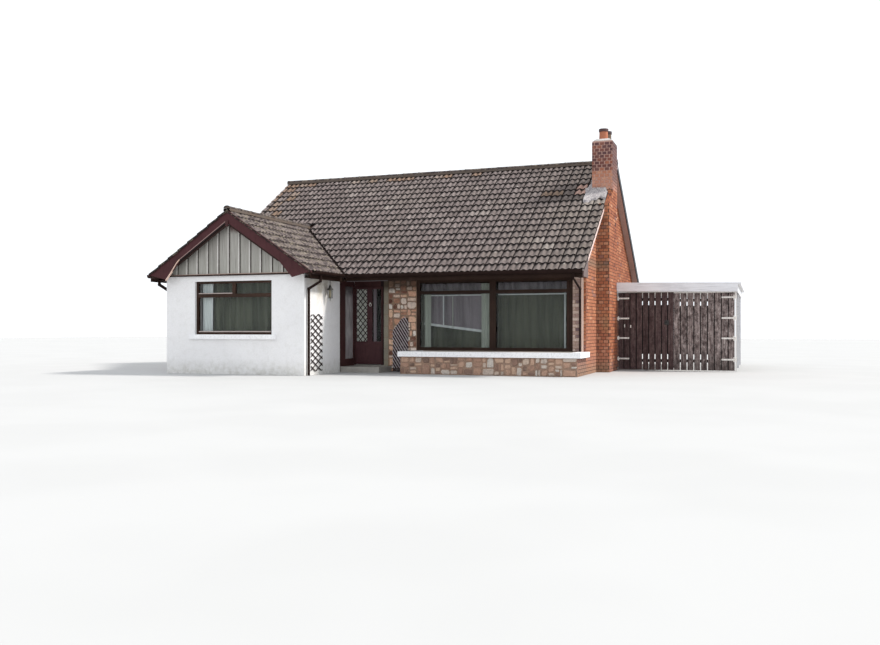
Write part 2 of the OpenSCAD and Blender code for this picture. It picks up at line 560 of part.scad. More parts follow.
// one leaf: boards in front of two rails and a backing between them
module leaf(x0, x1, z1, s) {
  n = round((x1 - x0)/board_p);
  p = (x1 - x0 + gz_gap)/n;
  for (i = [0:n - 1]) bx([x0 + i*p, gate_y, gz0], [x0 + i*p + p - gz_gap, gate_y + 22, z1]);
  for (z = [[205, 277], [z1 - 205, z1 - 133]])
    bx([x0, gate_y + 22, z[0]], [x1, gate_y + 62, z[1]]);
  bx([x0 + 2, gate_y + 22, 396], [x1 - 2, gate_y + 34, z1 - 301]);
  // wide hanging stile behind the boards next to the hinges
  bx([s > 0 ? x0 + 2 : x1 - 532, gate_y + 22, gz0 + 2],
    [s > 0 ? x0 + 492 : x1 - 2, gate_y + 34, z1 - 2]);
}
module strap(x, s) {
  for (z = hinge_z) {
    difference() {
      union() {
        translate([x, py, z - 27]) cylinder(h = 54, r = 9.5, $fn = 24);
        bx([s > 0 ? x : x - 298, gate_y - 5, z - 18], [s > 0 ? x + 274 : x, gate_y, z + 18]);
      }
      translate([x, py, z - 60]) cylinder(h = 120, r = 6, $fn = 24);
    }
  }
}
module gate_left() at() color("#4f4442") leaf(px_l + 11, gate_m - 6, 1868, 1);
module gate_left_hinges() at() color("#e8e6e2") strap(px_l, 1);
module gate_right() at() color("#857a70") leaf(gate_m + 6, px_r - 11, 1842, -1);
module gate_right_hinges() at() color("#e8e6e2") strap(px_r, -1);

// ---- small pieces on the walls -------------------------------------------
module lantern() at() color("#1c1a1a") translate([-5400, -720, 0]) {
  translate([0, 0, box_z - 12]) cylinder(h = 11, r = 35, $fn = 32);
  translate([0, 0, 1980]) cylinder(h = box_z - 1991, r = 6, $fn = 24);
  translate([0, 0, 1866]) cylinder(h = 120, r1 = 52, r2 = 7, $fn = 32);
  translate([0, 0, 1664]) cylinder(h = 203, r1 = 12, r2 = 40, $fn = 32);
  translate([0, 0, 1610]) cylinder(h = 55, r1 = 3, r2 = 10, $fn = 24);
}
// lattice of crossed laths w wide and h high in the XZ plane
module lattice(w, h, p = 150) intersection() {
  union() for (s = [-1, 1])
    for (i = [-ceil(h/p):ceil((w + h)/p)])
      translate([i*p, s > 0 ? 0 : -7, 0]) rotate([0, s*45, 0])
        translate([-8, 0, -h*1.5]) cube([16, 7.5, h*3]);
  bx([0, -10, 0], [w, 10, h]);
}
module trellises() at() color("#6a5a50") {
  translate([wx1 + 12, -1393, 80]) rotate([0, 0, 90]) lattice(520, 1220);
  // pointed at the top
  translate([-4526, front_y - 10, 80]) intersection() {
    lattice(380, 1220);
    along_y(-20, 20, [[0, 0], [380, 0], [380, 950], [190, 1220], [0, 1000]]);
  }
}

floor_slab();
right_gable_wall();
left_gable_wall();
rear_wall();
wing_front_wall();
wing_cladding();
wing_left_wall();
wing_right_wall();
stone_facings();
front_wall();
planter_front_wall();
planter_end_walls();
planter_coping();
main_roof_front();
main_roof_rear();
wing_roof();
ridge_tiles();
wing_barge_boards();
verge_boards();
fascia_boards();
gutters();
downpipes();
soffits();
window_frames();
window_glass();
window_cills();
entrance_frame();
front_door();
front_door_glass();
rear_door();
chimney_breast();
chimney_stack();
chimney_flaunching();
chimney_pots();
chimney_flashing();
carport_roof();
carport_fascia();
carport_posts();
gate_posts();
gate_pins();
gate_left();
gate_left_hinges();
gate_right();
gate_right_hinges();
lantern();
trellises();
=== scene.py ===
"""Looks for the bungalow: tiles, bricks, stones, boards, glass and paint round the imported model."""

import json
import math
import random

import bmesh
import bpy
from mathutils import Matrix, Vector

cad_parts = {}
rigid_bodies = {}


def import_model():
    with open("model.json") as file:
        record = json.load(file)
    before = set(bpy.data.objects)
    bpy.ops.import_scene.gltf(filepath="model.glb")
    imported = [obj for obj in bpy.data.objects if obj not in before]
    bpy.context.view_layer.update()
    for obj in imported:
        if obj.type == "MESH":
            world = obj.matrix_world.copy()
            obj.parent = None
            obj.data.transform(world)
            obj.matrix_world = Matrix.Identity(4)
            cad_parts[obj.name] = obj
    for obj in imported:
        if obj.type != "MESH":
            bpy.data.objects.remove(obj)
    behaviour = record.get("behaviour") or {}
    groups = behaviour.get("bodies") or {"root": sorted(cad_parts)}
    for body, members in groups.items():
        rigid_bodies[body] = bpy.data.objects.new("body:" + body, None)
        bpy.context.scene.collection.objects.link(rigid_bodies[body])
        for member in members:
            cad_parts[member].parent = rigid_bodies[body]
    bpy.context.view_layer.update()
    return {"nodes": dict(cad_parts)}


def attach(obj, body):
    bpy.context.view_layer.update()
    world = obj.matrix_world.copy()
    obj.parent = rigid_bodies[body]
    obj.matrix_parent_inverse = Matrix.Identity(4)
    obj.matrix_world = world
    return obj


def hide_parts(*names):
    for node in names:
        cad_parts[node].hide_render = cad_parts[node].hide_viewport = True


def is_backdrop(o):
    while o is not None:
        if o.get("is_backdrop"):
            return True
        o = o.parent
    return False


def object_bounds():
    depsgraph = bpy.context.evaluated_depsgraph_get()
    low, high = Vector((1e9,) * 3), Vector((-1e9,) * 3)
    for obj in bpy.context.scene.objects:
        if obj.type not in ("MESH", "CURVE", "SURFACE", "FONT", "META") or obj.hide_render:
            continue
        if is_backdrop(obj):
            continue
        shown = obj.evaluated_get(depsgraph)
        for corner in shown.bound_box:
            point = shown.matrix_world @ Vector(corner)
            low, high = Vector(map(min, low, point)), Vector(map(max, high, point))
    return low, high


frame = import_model()
NODE = frame["nodes"]

# ---------------------------------------------------------------- frame
# House coordinates in metres: X 0 is the outer face of the right gable, Y 0 the
# front of the porch recess, Z 0 the ground. P() shifts them to the part's frame.
OX, OY = -3.1255, 3.314


def P(x, y, z):
    return (x - OX, y - OY, z)


EY, EZ, RY = -0.425, 2.236, 4.028  # front edge of the tiles, its height, ridge
PITCH = math.radians(33.6)
TP, CP, SP = math.tan(PITCH), math.cos(PITCH), math.sin(PITCH)
RZ = EZ + (RY - EY) * TP
REAR = 2 * RY - EY
VR, VL = 0.187, -9.176  # verges
WX, WE, WTY = -7.274, 2.062, -1.925  # wing: centre, half span, front edge
EX0, EX1 = WX - WE, WX + WE
WRZ = EZ + WE * TP
VALY = EY + WE
WX0, WX1, WY = WX - 1.752, WX + 1.752, -1.663
FY = 0.771
XL = -9.027
GATE_M = 1.618  # where the gates meet


def top_f(y):
    return EZ + (y - EY) * TP


def top_r(y):
    return RZ - (y - RY) * TP


def top_w(x):
    return WRZ - abs(x - WX) * TP


# ---------------------------------------------------------------- camera
scene = bpy.context.scene
cam = bpy.data.cameras.new("camera")
cam.sensor_width = 36.0
cam.lens = 35.726
cam.shift_y = 0.0083
cam.clip_end = 300
cam_ob = bpy.data.objects.new("camera", cam)
cam_ob.location = P(3.537, -18.033, 0.975)
cam_ob.rotation_euler = (math.radians(90), 0, math.radians(20.129))
scene.collection.objects.link(cam_ob)
scene.camera = cam_ob



# ---------------------------------------------------------------- meshes
class Buf:
    """Faces of one piece, each with a tint and a material number, and at its points a dirt_and_shade value that mixes
    real dirt with painted shade.
    """

    def __init__(self):
        self.v, self.f, self.c, self.m, self.s, self.d = [], [], [], [], [], []

    def face(self, pts, c=0.5, m=0, smooth=False, dirt_and_shade=0.0):
        i = len(self.v)
        self.v.extend(pts)
        self.d.extend([dirt_and_shade] * len(pts) if isinstance(dirt_and_shade, (int, float)) else dirt_and_shade)
        self.f.append(tuple(range(i, i + len(pts))))
        self.c.append(c)
        self.m.append(m)
        self.s.append(smooth)

    def grid(self, rows, c=0.5, m=0, smooth=True, dirt_and_shade=None):
        i, n = len(self.v), len(rows[0])
        for a, r in enumerate(rows):
            self.v.extend(r)
            self.d.extend(dirt_and_shade[a] if dirt_and_shade else [0.0] * n)
        for a in range(len(rows) - 1):
            for b in range(n - 1):
                k = i + a * n + b
                self.f.append((k, k + 1, k + n + 1, k + n))
                self.c.append(c)
                self.m.append(m)
                self.s.append(smooth)

    def box(self, lo, hi, c=0.5, m=0, skip="", bevel=0.0):
        x0, y0, z0 = lo
        x1, y1, z1 = hi
        if bevel:
            self.bevelled(lo, hi, c, m, bevel)
            return
        q = {
            "-x": [(x0, y1, z0), (x0, y0, z0), (x0, y0, z1), (x0, y1, z1)],
            "+x": [(x1, y0, z0), (x1, y1, z0), (x1, y1, z1), (x1, y0, z1)],
            "-y": [(x0, y0, z0), (x1, y0, z0), (x1, y0, z1), (x0, y0, z1)],
            "+y": [(x1, y1, z0), (x0, y1, z0), (x0, y1, z1), (x1, y1, z1)],
            "-z": [(x0, y1, z0), (x1, y1, z0), (x1, y0, z0), (x0, y0, z0)],
            "+z": [(x0, y0, z1), (x1, y0, z1), (x1, y1, z1), (x0, y1, z1)],
        }
        for k, pts in q.items():
            if k not in skip.split():
                self.face(pts, c, m)

    def bevelled(self, lo, hi, c, m, e):
        """A box with every edge cut back by e."""
        bm = bmesh.new()
        bmesh.ops.create_cube(bm, size=1.0)
        for v in bm.verts:
            for k in range(3):
                v.co[k] = lo[k] + (v.co[k] + 0.5) * (hi[k] - lo[k])
        e = min(e, 0.45 * min(hi[k] - lo[k] for k in range(3)))
        bmesh.ops.bevel(bm, geom=bm.edges[:], offset=e, segments=1, affect="EDGES", profile=0.5)
        for f in bm.faces:
            self.face([tuple(v.co) for v in f.verts], c, m)
        bm.free()

    def prism(self, poly, a, b, c=0.5, m=0):
        """poly: points; a and b turn a point into the two ends' corners."""
        lo, hi = [a(p) for p in poly], [b(p) for p in poly]
        self.face(lo[::-1], c, m)
        self.face(hi, c, m)
        n = len(poly)
        for i in range(n):
            j = (i + 1) % n
            self.face([lo[i], lo[j], hi[j], hi[i]], c, m)

    def make(self, name, mats, body="root", weld=False, normals=False):
        me = bpy.data.meshes.new(name)
        me.from_pydata([tuple(p) for p in self.v], [], self.f)
        for x in mats if isinstance(mats, (list, tuple)) else [mats]:
            me.materials.append(x)
        me.polygons.foreach_set("material_index", self.m)
        me.polygons.foreach_set("use_smooth", self.s)
        at = me.attributes.new("tint", "FLOAT", "FACE")
        at.data.foreach_set("value", self.c)
        if any(self.d):
            at = me.attributes.new("dirt_and_shade", "FLOAT", "POINT")
            at.data.foreach_set("value", self.d)
        me.update()
        if weld or normals:
            bm = bmesh.new()
            bm.from_mesh(me)
            if weld:
                bmesh.ops.remove_doubles(bm, verts=bm.verts, dist=1e-5)
            if normals:
                bmesh.ops.recalc_face_normals(bm, faces=bm.faces)
            bm.to_mesh(me)
            bm.free()
        ob = bpy.data.objects.new(name, me)
        scene.collection.objects.link(ob)
        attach(ob, body)
        return ob


def cut(ob, co, no, fill=False):
    """Takes away what lies on the side that no points to."""
    bm = bmesh.new()
    bm.from_mesh(ob.data)
    r = bmesh.ops.bisect_plane(
        bm, geom=bm.verts[:] + bm.edges[:] + bm.faces[:], dist=1e-5, plane_co=Vector(co), plane_no=Vector(no), clear_outer=True
    )
    if fill:
        edges = [g for g in r["geom_cut"] if isinstance(g, bmesh.types.BMEdge)]
        bmesh.ops.holes_fill(bm, edges=edges)
    bm.to_mesh(ob.data)
    bm.free()


def join(obs, name):
    for o in bpy.context.view_layer.objects:
        o.select_set(False)
    for o in obs:
        o.select_set(True)
    bpy.context.view_layer.objects.active = obs[0]
    bpy.ops.object.join()
    obs[0].name = name
    obs[0].data.name = name
    return obs[0]


def clip(poly, a, b, c):
    """The part of a polygon where a*u + b*v <= c."""
    out = []
    n = len(poly)
    for i in range(n):
        p, q = poly[i], poly[(i + 1) % n]
        dp, dq = a * p[0] + b * p[1] - c, a * q[0] + b * q[1] - c
        if dp <= 0:
            out.append(p)
        if (dp < 0 < dq) or (dq < 0 < dp):
            t = dp / (dp - dq)
            out.append((p[0] + t * (q[0] - p[0]), p[1] + t * (q[1] - p[1])))
    return out


def area(poly):
    return 0.5 * sum(poly[i][0] * poly[(i + 1) % len(poly)][1] - poly[(i + 1) % len(poly)][0] * poly[i][1] for i in range(len(poly)))


def frustum(buf, poly, place, d0, d1, inset, c, m=0):
    """A low block on a wall: polygon at depth d0, a smaller one at d1."""
    cu = sum(p[0] for p in poly) / len(poly)
    cv = sum(p[1] for p in poly) / len(poly)
    hu = max(abs(p[0] - cu) for p in poly)
    hv = max(abs(p[1] - cv) for p in poly)
    if hu < 0.006 or hv < 0.006:
        return
    su, sv = 1 - min(inset / hu, 0.4), 1 - min(inset / hv, 0.4)
    lo = [place(p[0], p[1], d0) for p in poly]
    hi = [place(cu + (p[0] - cu) * su, cv + (p[1] - cv) * sv, d1) for p in poly]
    buf.face(hi, c, m)
    n = len(poly)
    for i in range(n):
        j = (i + 1) % n
        buf.face([lo[i], lo[j], hi[j], hi[i]], c, m)


# ---------------------------------------------------------------- materials
# ---------------------------------------------------------------- materials
def material(name, rough=0.7, metal=0.0, spec=0.4):
    m = bpy.data.materials.new(name)
    m.use_nodes = True
    nt = m.node_tree
    b = nt.nodes["Principled BSDF"]
    b.inputs["Roughness"].default_value = rough
    b.inputs["Metallic"].default_value = metal
    b.inputs["Specular IOR Level"].default_value = spec
    return m, nt, b


def coords(nt, scale=(1, 1, 1)):
    tc = nt.nodes.new("ShaderNodeTexCoord")
    mp = nt.nodes.new("ShaderNodeMapping")
    mp.inputs["Scale"].default_value = scale
    nt.links.new(tc.outputs["Object"], mp.inputs["Vector"])
    return mp.outputs["Vector"]


def noise(nt, vec, scale, detail=4.0, rough=0.55):
    n = nt.nodes.new("ShaderNodeTexNoise")
    n.inputs["Scale"].default_value = scale
    n.inputs["Detail"].default_value = detail
    n.inputs["Roughness"].default_value = rough
    nt.links.new(vec, n.inputs["Vector"])
    return n.outputs["Fac"]


def ramp(nt, fac, stops, kind="LINEAR"):
    r = nt.nodes.new("ShaderNodeValToRGB")
    r.color_ramp.interpolation = kind
    e = r.color_ramp.elements
    while len(e) < len(stops):
        e.new(0.5)
    for i, (p, c) in enumerate(stops):
        e[i].position = p
        e[i].color = (c[0], c[1], c[2], 1) if isinstance(c, (tuple, list)) else (c, c, c, 1)
    nt.links.new(fac, r.inputs["Fac"])
    return r.outputs["Color"]


def mix(nt, a, b, fac, how="MIX"):
    m = nt.nodes.new("ShaderNodeMix")
    m.data_type = "RGBA"
    m.blend_type = how
    ins = [s for s in m.inputs if s.type == "RGBA"]
    fin = [s for s in m.inputs if s.name == "Factor" and s.type == "VALUE"][0]
    for sock, val in ((fin, fac), (ins[0], a), (ins[1], b)):
        if isinstance(val, (int, float)):
            sock.default_value = val if sock is fin else (val, val, val, 1)
        elif isinstance(val, tuple):
            sock.default_value = (val[0], val[1], val[2], 1)
        else:
            nt.links.new(val, sock)
    return [s for s in m.outputs if s.type == "RGBA"][0]


def calc(nt, op, a, b=0.0, c=None):
    m = nt.nodes.new("ShaderNodeMath")
    m.operation = op
    for i, val in enumerate((a, b, c)):
        if val is None:
            continue
        if isinstance(val, (int, float)):
            m.inputs[i].default_value = val
        else:
            nt.links.new(val, m.inputs[i])
    return m.outputs[0]


def times(nt, *vals):
    out = vals[0]
    for v in vals[1:]:
        out = calc(nt, "MULTIPLY", out, v)
    return out


def axes(nt):
    tc = nt.nodes.new("ShaderNodeTexCoord")
    s = nt.nodes.new("ShaderNodeSeparateXYZ")
    nt.links.new(tc.outputs["Object"], s.inputs[0])
    return s.outputs[0], s.outputs[1], s.outputs[2]


def band(nt, val, lo, hi):
    r = nt.nodes.new("ShaderNodeMapRange")
    r.inputs["From Min"].default_value = lo
    r.inputs["From Max"].default_value = hi
    nt.links.new(val, r.inputs["Value"])
    return r.outputs["Result"]


def near(nt, val, centre, half):
    """1 at the centre, 0 half away from it."""
    return band(nt, calc(nt, "ABSOLUTE", calc(nt, "SUBTRACT", val, centre)), half, 0.0)


def bump(nt, b, height, strength=0.5, dist=0.004):
    n = nt.nodes.new("ShaderNodeBump")
    n.inputs["Strength"].default_value = strength
    n.inputs["Distance"].default_value = dist
    nt.links.new(height, n.inputs["Height"])
    nt.links.new(n.outputs["Normal"], b.inputs["Normal"])


def held(nt, name):
    a = nt.nodes.new("ShaderNodeAttribute")
    a.attribute_name = name
    return a.outputs["Fac"]


def tint(nt):
    return held(nt, "tint")


def finish_colour(nt, b, colour, rough=None):
    nt.links.new(colour, b.inputs["Base Color"])
    if rough is not None:
        nt.links.new(rough, b.inputs["Roughness"])


def painted(name, dark, light, rough=0.5, grain=(60, 60, 3), strength=0.15, dirt_and_shade=(0.3, 0.28, 0.25), wear=0.15, extra=None, spec=0.4):
    """Painted or stained timber: a faint grain under the paint, dirt in patches."""
    m, nt, b = material(name, rough, spec=spec)
    g = noise(nt, coords(nt, grain), 1.0, 3)
    w = noise(nt, coords(nt), 2.3, 6, 0.65)
    col = ramp(nt, w, [(0.3, dark), (0.7, light)])
    col = mix(nt, col, dirt_and_shade, times(nt, ramp(nt, w, [(0.5, 0), (0.8, 1)]), wear))
    col = mix(nt, col, 0.0, times(nt, ramp(nt, g, [(0.35, 1), (0.55, 0)]), 0.18))
    if extra:
        col = extra(nt, col, w)
    rr = ramp(nt, w, [(0.35, rough * 0.85), (0.7, min(1.0, rough * 1.2))])
    finish_colour(nt, b, col, rr)
    bump(nt, b, g, strength, 0.002)
    return m


BRICK_TONES = [
    (0.0, (0.075, 0.026, 0.022)),
    (0.14, (0.155, 0.046, 0.028)),
    (0.34, (0.27, 0.083, 0.040)),
    (0.58, (0.375, 0.125, 0.058)),
    (0.82, (0.47, 0.185, 0.088)),
    (0.93, (0.52, 0.26, 0.155)),
    (1.0, (0.25, 0.118, 0.098)),
]


def brick_material(name="brick", tones=BRICK_TONES, place=True):
    m, nt, b = material(name, 0.86, spec=0.25)
    x, y, z = axes(nt)
    base = ramp(nt, tint(nt), tones)
    fine = noise(nt, coords(nt), 38.0, 8, 0.7)
    big = noise(nt, coords(nt), 1.6, 5, 0.6)
    col = mix(nt, base, (0.11, 0.035, 0.025), times(nt, ramp(nt, fine, [(0.36, 1), (0.56, 0)]), 0.5))
    col = mix(nt, col, (0.62, 0.36, 0.22), times(nt, ramp(nt, fine, [(0.58, 0), (0.75, 1)]), 0.3))
    if place:
        # soot and grime on the stack, more towards its head
        stack = calc(nt, "GREATER_THAN", z, 4.26)
        col = mix(nt, col, (0.46, 0.27, 0.225), times(nt, stack, band(nt, z, 4.85, 4.45), 0.45))
        flank = times(nt, stack, calc(nt, "GREATER_THAN", x, 0.2885 - OX), band(nt, z, 4.3, 4.5))
        col = mix(nt, col, (0.115, 0.075, 0.075), times(nt, flank, 0.7))
        high = times(nt, band(nt, z, 4.6, 5.1), ramp(nt, big, [(0.3, 0.55), (0.62, 1.0)]))
        col = mix(nt, col, (0.115, 0.075, 0.085), times(nt, high, 0.52))
        low = times(nt, band(nt, z, 0.5, 0.0), ramp(nt, big, [(0.35, 0.25), (0.65, 1.0)]))
        col = mix(nt, col, (0.22, 0.15, 0.13), times(nt, low, 0.6))
        toe = times(nt, calc(nt, "LESS_THAN", y, 0.76 - OY), calc(nt, "LESS_THAN", z, 0.4))
        col = mix(nt, col, (0.112, 0.078, 0.078), times(nt, toe, 0.85))
        # the breast's front: damp patches, and a green stain under its shoulder
        front = times(nt, calc(nt, "GREATER_THAN", x, 0.005 - OX), calc(nt, "LESS_THAN", y, 2.0835 - OY), calc(nt, "LESS_THAN", z, 4.2))
        blot = noise(nt, coords(nt, (3, 3, 1.4)), 1.0, 4, 0.6)
        col = mix(nt, col, (0.17, 0.06, 0.035), times(nt, front, ramp(nt, blot, [(0.48, 0), (0.64, 1)]), 0.14))
        col = mix(nt, col, (0.52, 0.27, 0.17), times(nt, front, 0.16))
        col = mix(nt, col, (0.17, 0.155, 0.115), times(nt, front, near(nt, z, 2.47, 0.17), 0.6))
        col = mix(nt, col, (0.33, 0.27, 0.15), times(nt, front, near(nt, z, 1.12, 0.3), near(nt, x, 0.22 - OX, 0.13), 0.5))
        col = mix(nt, col, (0.17, 0.16, 0.09), times(nt, front, band(nt, z, 0.34, 0.06), 0.55))
        # paler, pinkish bricks in the gable towards the front corner's foot
        side = times(nt, calc(nt, "LESS_THAN", y, 2.08 - OY), band(nt, z, 1.3, 0.3))
        col = mix(nt, col, (0.42, 0.20, 0.15), times(nt, side, 0.3))
    finish_colour(nt, b, col)
    bump(nt, b, fine, 0.6, 0.003)
    return m


def mortar_material(name, col0, col1, strength=0.6, extra=None):
    m, nt, b = material(name, 0.92, spec=0.2)
    n = noise(nt, coords(nt), 60.0, 6, 0.7)
    g = noise(nt, coords(nt), 3.0, 4)
    col = mix(nt, ramp(nt, n, [(0.3, col0), (0.7, col1)]), 0.12, times(nt, ramp(nt, g, [(0.4, 0), (0.75, 1)]), 0.35))
    if extra:
        col = extra(nt, col, g)
    finish_colour(nt, b, col)
    bump(nt, b, n, strength, 0.004)
    return m


def render_material():
    """Rough-cast render painted white, a little grimy near the ground."""
    m, nt, b = material("white_render", 0.85, spec=0.25)
    v = nt.nodes.new("ShaderNodeTexVoronoi")
    v.inputs["Scale"].default_value = 130.0
    nt.links.new(coords(nt), v.inputs["Vector"])
    n = noise(nt, coords(nt), 55.0, 5, 0.7)
    h = calc(nt, "ADD", calc(nt, "MULTIPLY", v.outputs["Distance"], -1.2), n)
    x, y, z = axes(nt)
    big = noise(nt, coords(nt), 1.2, 5, 0.6)
    mid = noise(nt, coords(nt), 9.0, 5, 0.65)
    col = ramp(nt, big, [(0.3, (0.84, 0.83, 0.84)), (0.7, (0.91, 0.90, 0.905))])
    col = mix(nt, col, (0.60, 0.58, 0.54), times(nt, ramp(nt, mid, [(0.5, 0), (0.75, 1)]), 0.22))
    low = times(nt, band(nt, z, 0.35, 0.0), ramp(nt, mid, [(0.35, 0.3), (0.7, 1.0)]))
    col = mix(nt, col, (0.33, 0.32, 0.25), times(nt, low, 0.6))
    # darker in the pits of the rough-cast: a painted shade
    col = mix(nt, col, (0.45, 0.44, 0.42), times(nt, ramp(nt, v.outputs["Distance"], [(0.45, 0), (0.8, 1)]), 0.22))
    # a yellowish painted shade high on the wing's side wall, behind the hanging lamp and the pipe
    side = times(nt, calc(nt, "GREATER_THAN", x, -5.55 - OX), near(nt, y, -0.95 - OY, 0.75), band(nt, z, 1.3, 2.0))
    col = mix(nt, col, (0.50, 0.43, 0.30), times(nt, side, ramp(nt, mid, [(0.3, 0.25), (0.6, 0.9)])))
    finish_colour(nt, b, col)
    bump(nt, b, h, 0.6, 0.006)
    return m


def tile_material(name="roof_tiles", tone=1.0):
    m, nt, b = material(name, 0.88, spec=0.22)
    t = tint(nt)

    def k(c):
        return tuple(tone * q for q in c)

    base = ramp(
        nt,
        t,
        [
            (0.0, k((0.115, 0.091, 0.086))),
            (0.35, k((0.150, 0.120, 0.115))),
            (0.65, k((0.180, 0.146, 0.140))),
            (0.80, k((0.215, 0.178, 0.168))),
            (0.84, k((0.28, 0.245, 0.228))),
            (0.88, k((0.195, 0.130, 0.095))),
            (0.94, k((0.215, 0.140, 0.100))),
            (1.0, k((0.45, 0.28, 0.235))),
        ],
    )
    x, y, z = axes(nt)
    fine = noise(nt, coords(nt), 55.0, 8, 0.75)
    mid = noise(nt, coords(nt), 11.0, 6, 0.65)
    big = noise(nt, coords(nt), 0.8, 4, 0.6)
    col = mix(nt, base, k((0.060, 0.048, 0.046)), times(nt, ramp(nt, mid, [(0.32, 1), (0.50, 0)]), 0.5))
    col = mix(nt, col, k((0.42, 0.38, 0.36)), times(nt, ramp(nt, mid, [(0.56, 0), (0.70, 1)]), 0.34))
    col = mix(nt, col, k((0.46, 0.42, 0.39)), times(nt, ramp(nt, fine, [(0.60, 0), (0.72, 1)]), 0.4))
    # moss towards the stack and under the ridge, lichen in pale and yellow spots
    spots = nt.nodes.new("ShaderNodeTexVoronoi")
    spots.inputs["Scale"].default_value = 9.0
    nt.links.new(coords(nt), spots.inputs["Vector"])
    dot = ramp(nt, spots.outputs["Distance"], [(0.10, 1), (0.24, 0)])
    col = mix(nt, col, (0.52, 0.50, 0.46), times(nt, dot, ramp(nt, mid, [(0.52, 0), (0.6, 1)]), 0.7))
    right = band(nt, x, -2.2 - OX, -0.2 - OX)
    moss = times(nt, calc(nt, "ADD", times(nt, right, 0.55), ramp(nt, big, [(0.5, 0), (0.7, 0.5)])), ramp(nt, fine, [(0.46, 0), (0.6, 1)]))
    col = mix(nt, col, (0.155, 0.15, 0.075), times(nt, moss, 0.5))
    # near black where dirt_and_shade is high: painted shade in the joints, in the pans and under the noses, with patchy
    # dirt from the noise
    d = calc(nt, "ADD", held(nt, "dirt_and_shade"), times(nt, calc(nt, "SUBTRACT", mid, 0.5), 0.5))
    d = ramp(nt, d, [(0.24, 0), (0.62, 1)])
    col = mix(nt, col, (0.011, 0.008, 0.008), times(nt, d, 0.98))
    if tone < 1:
        # lichen on the ridge
        col = mix(nt, col, (0.22, 0.185, 0.135), times(nt, ramp(nt, mid, [(0.52, 0), (0.60, 1)]), 0.55))
        col = mix(nt, col, (0.030, 0.022, 0.022), times(nt, ramp(nt, mid, [(0.42, 1), (0.50, 0)]), 0.75))
    finish_colour(nt, b, col)
    bump(nt, b, calc(nt, "ADD", fine, mid), 0.5, 0.004)
    return m


def behind_fan(nt, x, y, z):
    """1 on the wall behind the fan of laths, following its sloping shoulders."""
    left = calc(nt, "SUBTRACT", calc(nt, "ADD", x, 4.525 + OX), calc(nt, "MULTIPLY", calc(nt, "MAXIMUM", calc(nt, "SUBTRACT", z, 0.96), 0.0), 0.84))
    inside = times(nt, calc(nt, "GREATER_THAN", left, 0.0), calc(nt, "LESS_THAN", x, -4.13 - OX), calc(nt, "LESS_THAN", z, 1.25))
    return times(nt, inside, calc(nt, "GREATER_THAN", y, 0.7 - OY))


def stone_material():
    m, nt, b = material("random_stone", 0.85, spec=0.3)
    base = ramp(
        nt,
        tint(nt),
        [
            (0.0, (0.15, 0.065, 0.045)),
            (0.2, (0.33, 0.155, 0.105)),
            (0.4, (0.66, 0.355, 0.235)),
            (0.6, (0.82, 0.50, 0.35)),
            (0.72, (0.86, 0.59, 0.41)),
            (0.85, (0.84, 0.68, 0.58)),
            (1.0, (0.96, 0.90, 0.83)),
        ],
    )
    mid = noise(nt, coords(nt), 22.0, 8, 0.7)
    fine = noise(nt, coords(nt), 60.0, 6, 0.7)
    col = mix(nt, base, (0.06, 0.035, 0.028), times(nt, ramp(nt, mid, [(0.35, 1), (0.52, 0)]), 0.45))
    col = mix(nt, col, (0.80, 0.64, 0.52), times(nt, ramp(nt, mid, [(0.56, 0), (0.7, 1)]), 0.5))
    x, y, z = axes(nt)
    # greyer low down, in the planter's wall
    col = mix(nt, col, (0.20, 0.165, 0.135), times(nt, calc(nt, "LESS_THAN", y, 0.1 - OY), calc(nt, "LESS_THAN", z, 0.45), 0.50))
    # darker in a painted shade under the eaves, and a painted shade on the wall behind the fan of laths
    col = mix(nt, col, (0.085, 0.050, 0.034), times(nt, band(nt, z, 1.84, 2.0), 0.85))
    col = mix(nt, col, (0.035, 0.026, 0.030), times(nt, behind_fan(nt, x, y, z), 0.9))
    finish_colour(nt, b, col)
    bump(nt, b, calc(nt, "ADD", calc(nt, "MULTIPLY", mid, 2.0), fine), 0.8, 0.009)
    return m


def weathered_boards(name, dark, light, wear_and_shade, coord, origin, pitch, rough=0.85, amount=0.6, extra=None, blotch=0.0):
    """Unpainted or thinly stained vertical boards, each of its own shade."""
    m, nt, b = material(name, rough, spec=0.2)
    xyz = axes(nt)
    xs = dict(zip("xyz", xyz))
    idx = calc(nt, "FLOOR", calc(nt, "DIVIDE", calc(nt, "SUBTRACT", xs[coord], origin), pitch))
    wn = nt.nodes.new("ShaderNodeTexWhiteNoise")
    wn.noise_dimensions = "1D"
    nt.links.new(idx, wn.inputs["W"])
    r = wn.outputs["Value"]
    shift = nt.nodes.new("ShaderNodeCombineXYZ")
    nt.links.new(calc(nt, "MULTIPLY", r, 37.0), shift.inputs[2])
    add = nt.nodes.new("ShaderNodeVectorMath")
    nt.links.new(coords(nt, (45, 45, 1.8)), add.inputs[0])
    nt.links.new(shift.outputs[0], add.inputs[1])
    g = noise(nt, add.outputs[0], 1.0, 6, 0.7)
    big = noise(nt, coords(nt, (6, 6, 1.5)), 1.0, 5, 0.65)
    col = mix(nt, dark, light, calc(nt, "ADD", calc(nt, "MULTIPLY", r, 0.5), calc(nt, "MULTIPLY", big, 0.6)))
    col = mix(nt, col, wear_and_shade, times(nt, ramp(nt, g, [(0.48, 0), (0.66, 1)]), amount))
    col = mix(nt, col, 0.01, times(nt, ramp(nt, g, [(0.3, 1), (0.42, 0)]), 0.6))
    if blotch:
        spots = noise(nt, coords(nt, (16, 16, 9)), 1.0, 5, 0.7)
        col = mix(nt, col, tuple(0.35 * q for q in dark), times(nt, ramp(nt, spots, [(0.50, 0), (0.60, 1)]), blotch))
        col = mix(nt, col, tuple(1.25 * q for q in wear_and_shade), times(nt, ramp(nt, spots, [(0.34, 1), (0.43, 0)]), blotch, 0.6))
    if extra:
        col = extra(nt, col, xyz, g)
    finish_colour(nt, b, col)
    bump(nt, b, g, 0.5, 0.003)
    return m


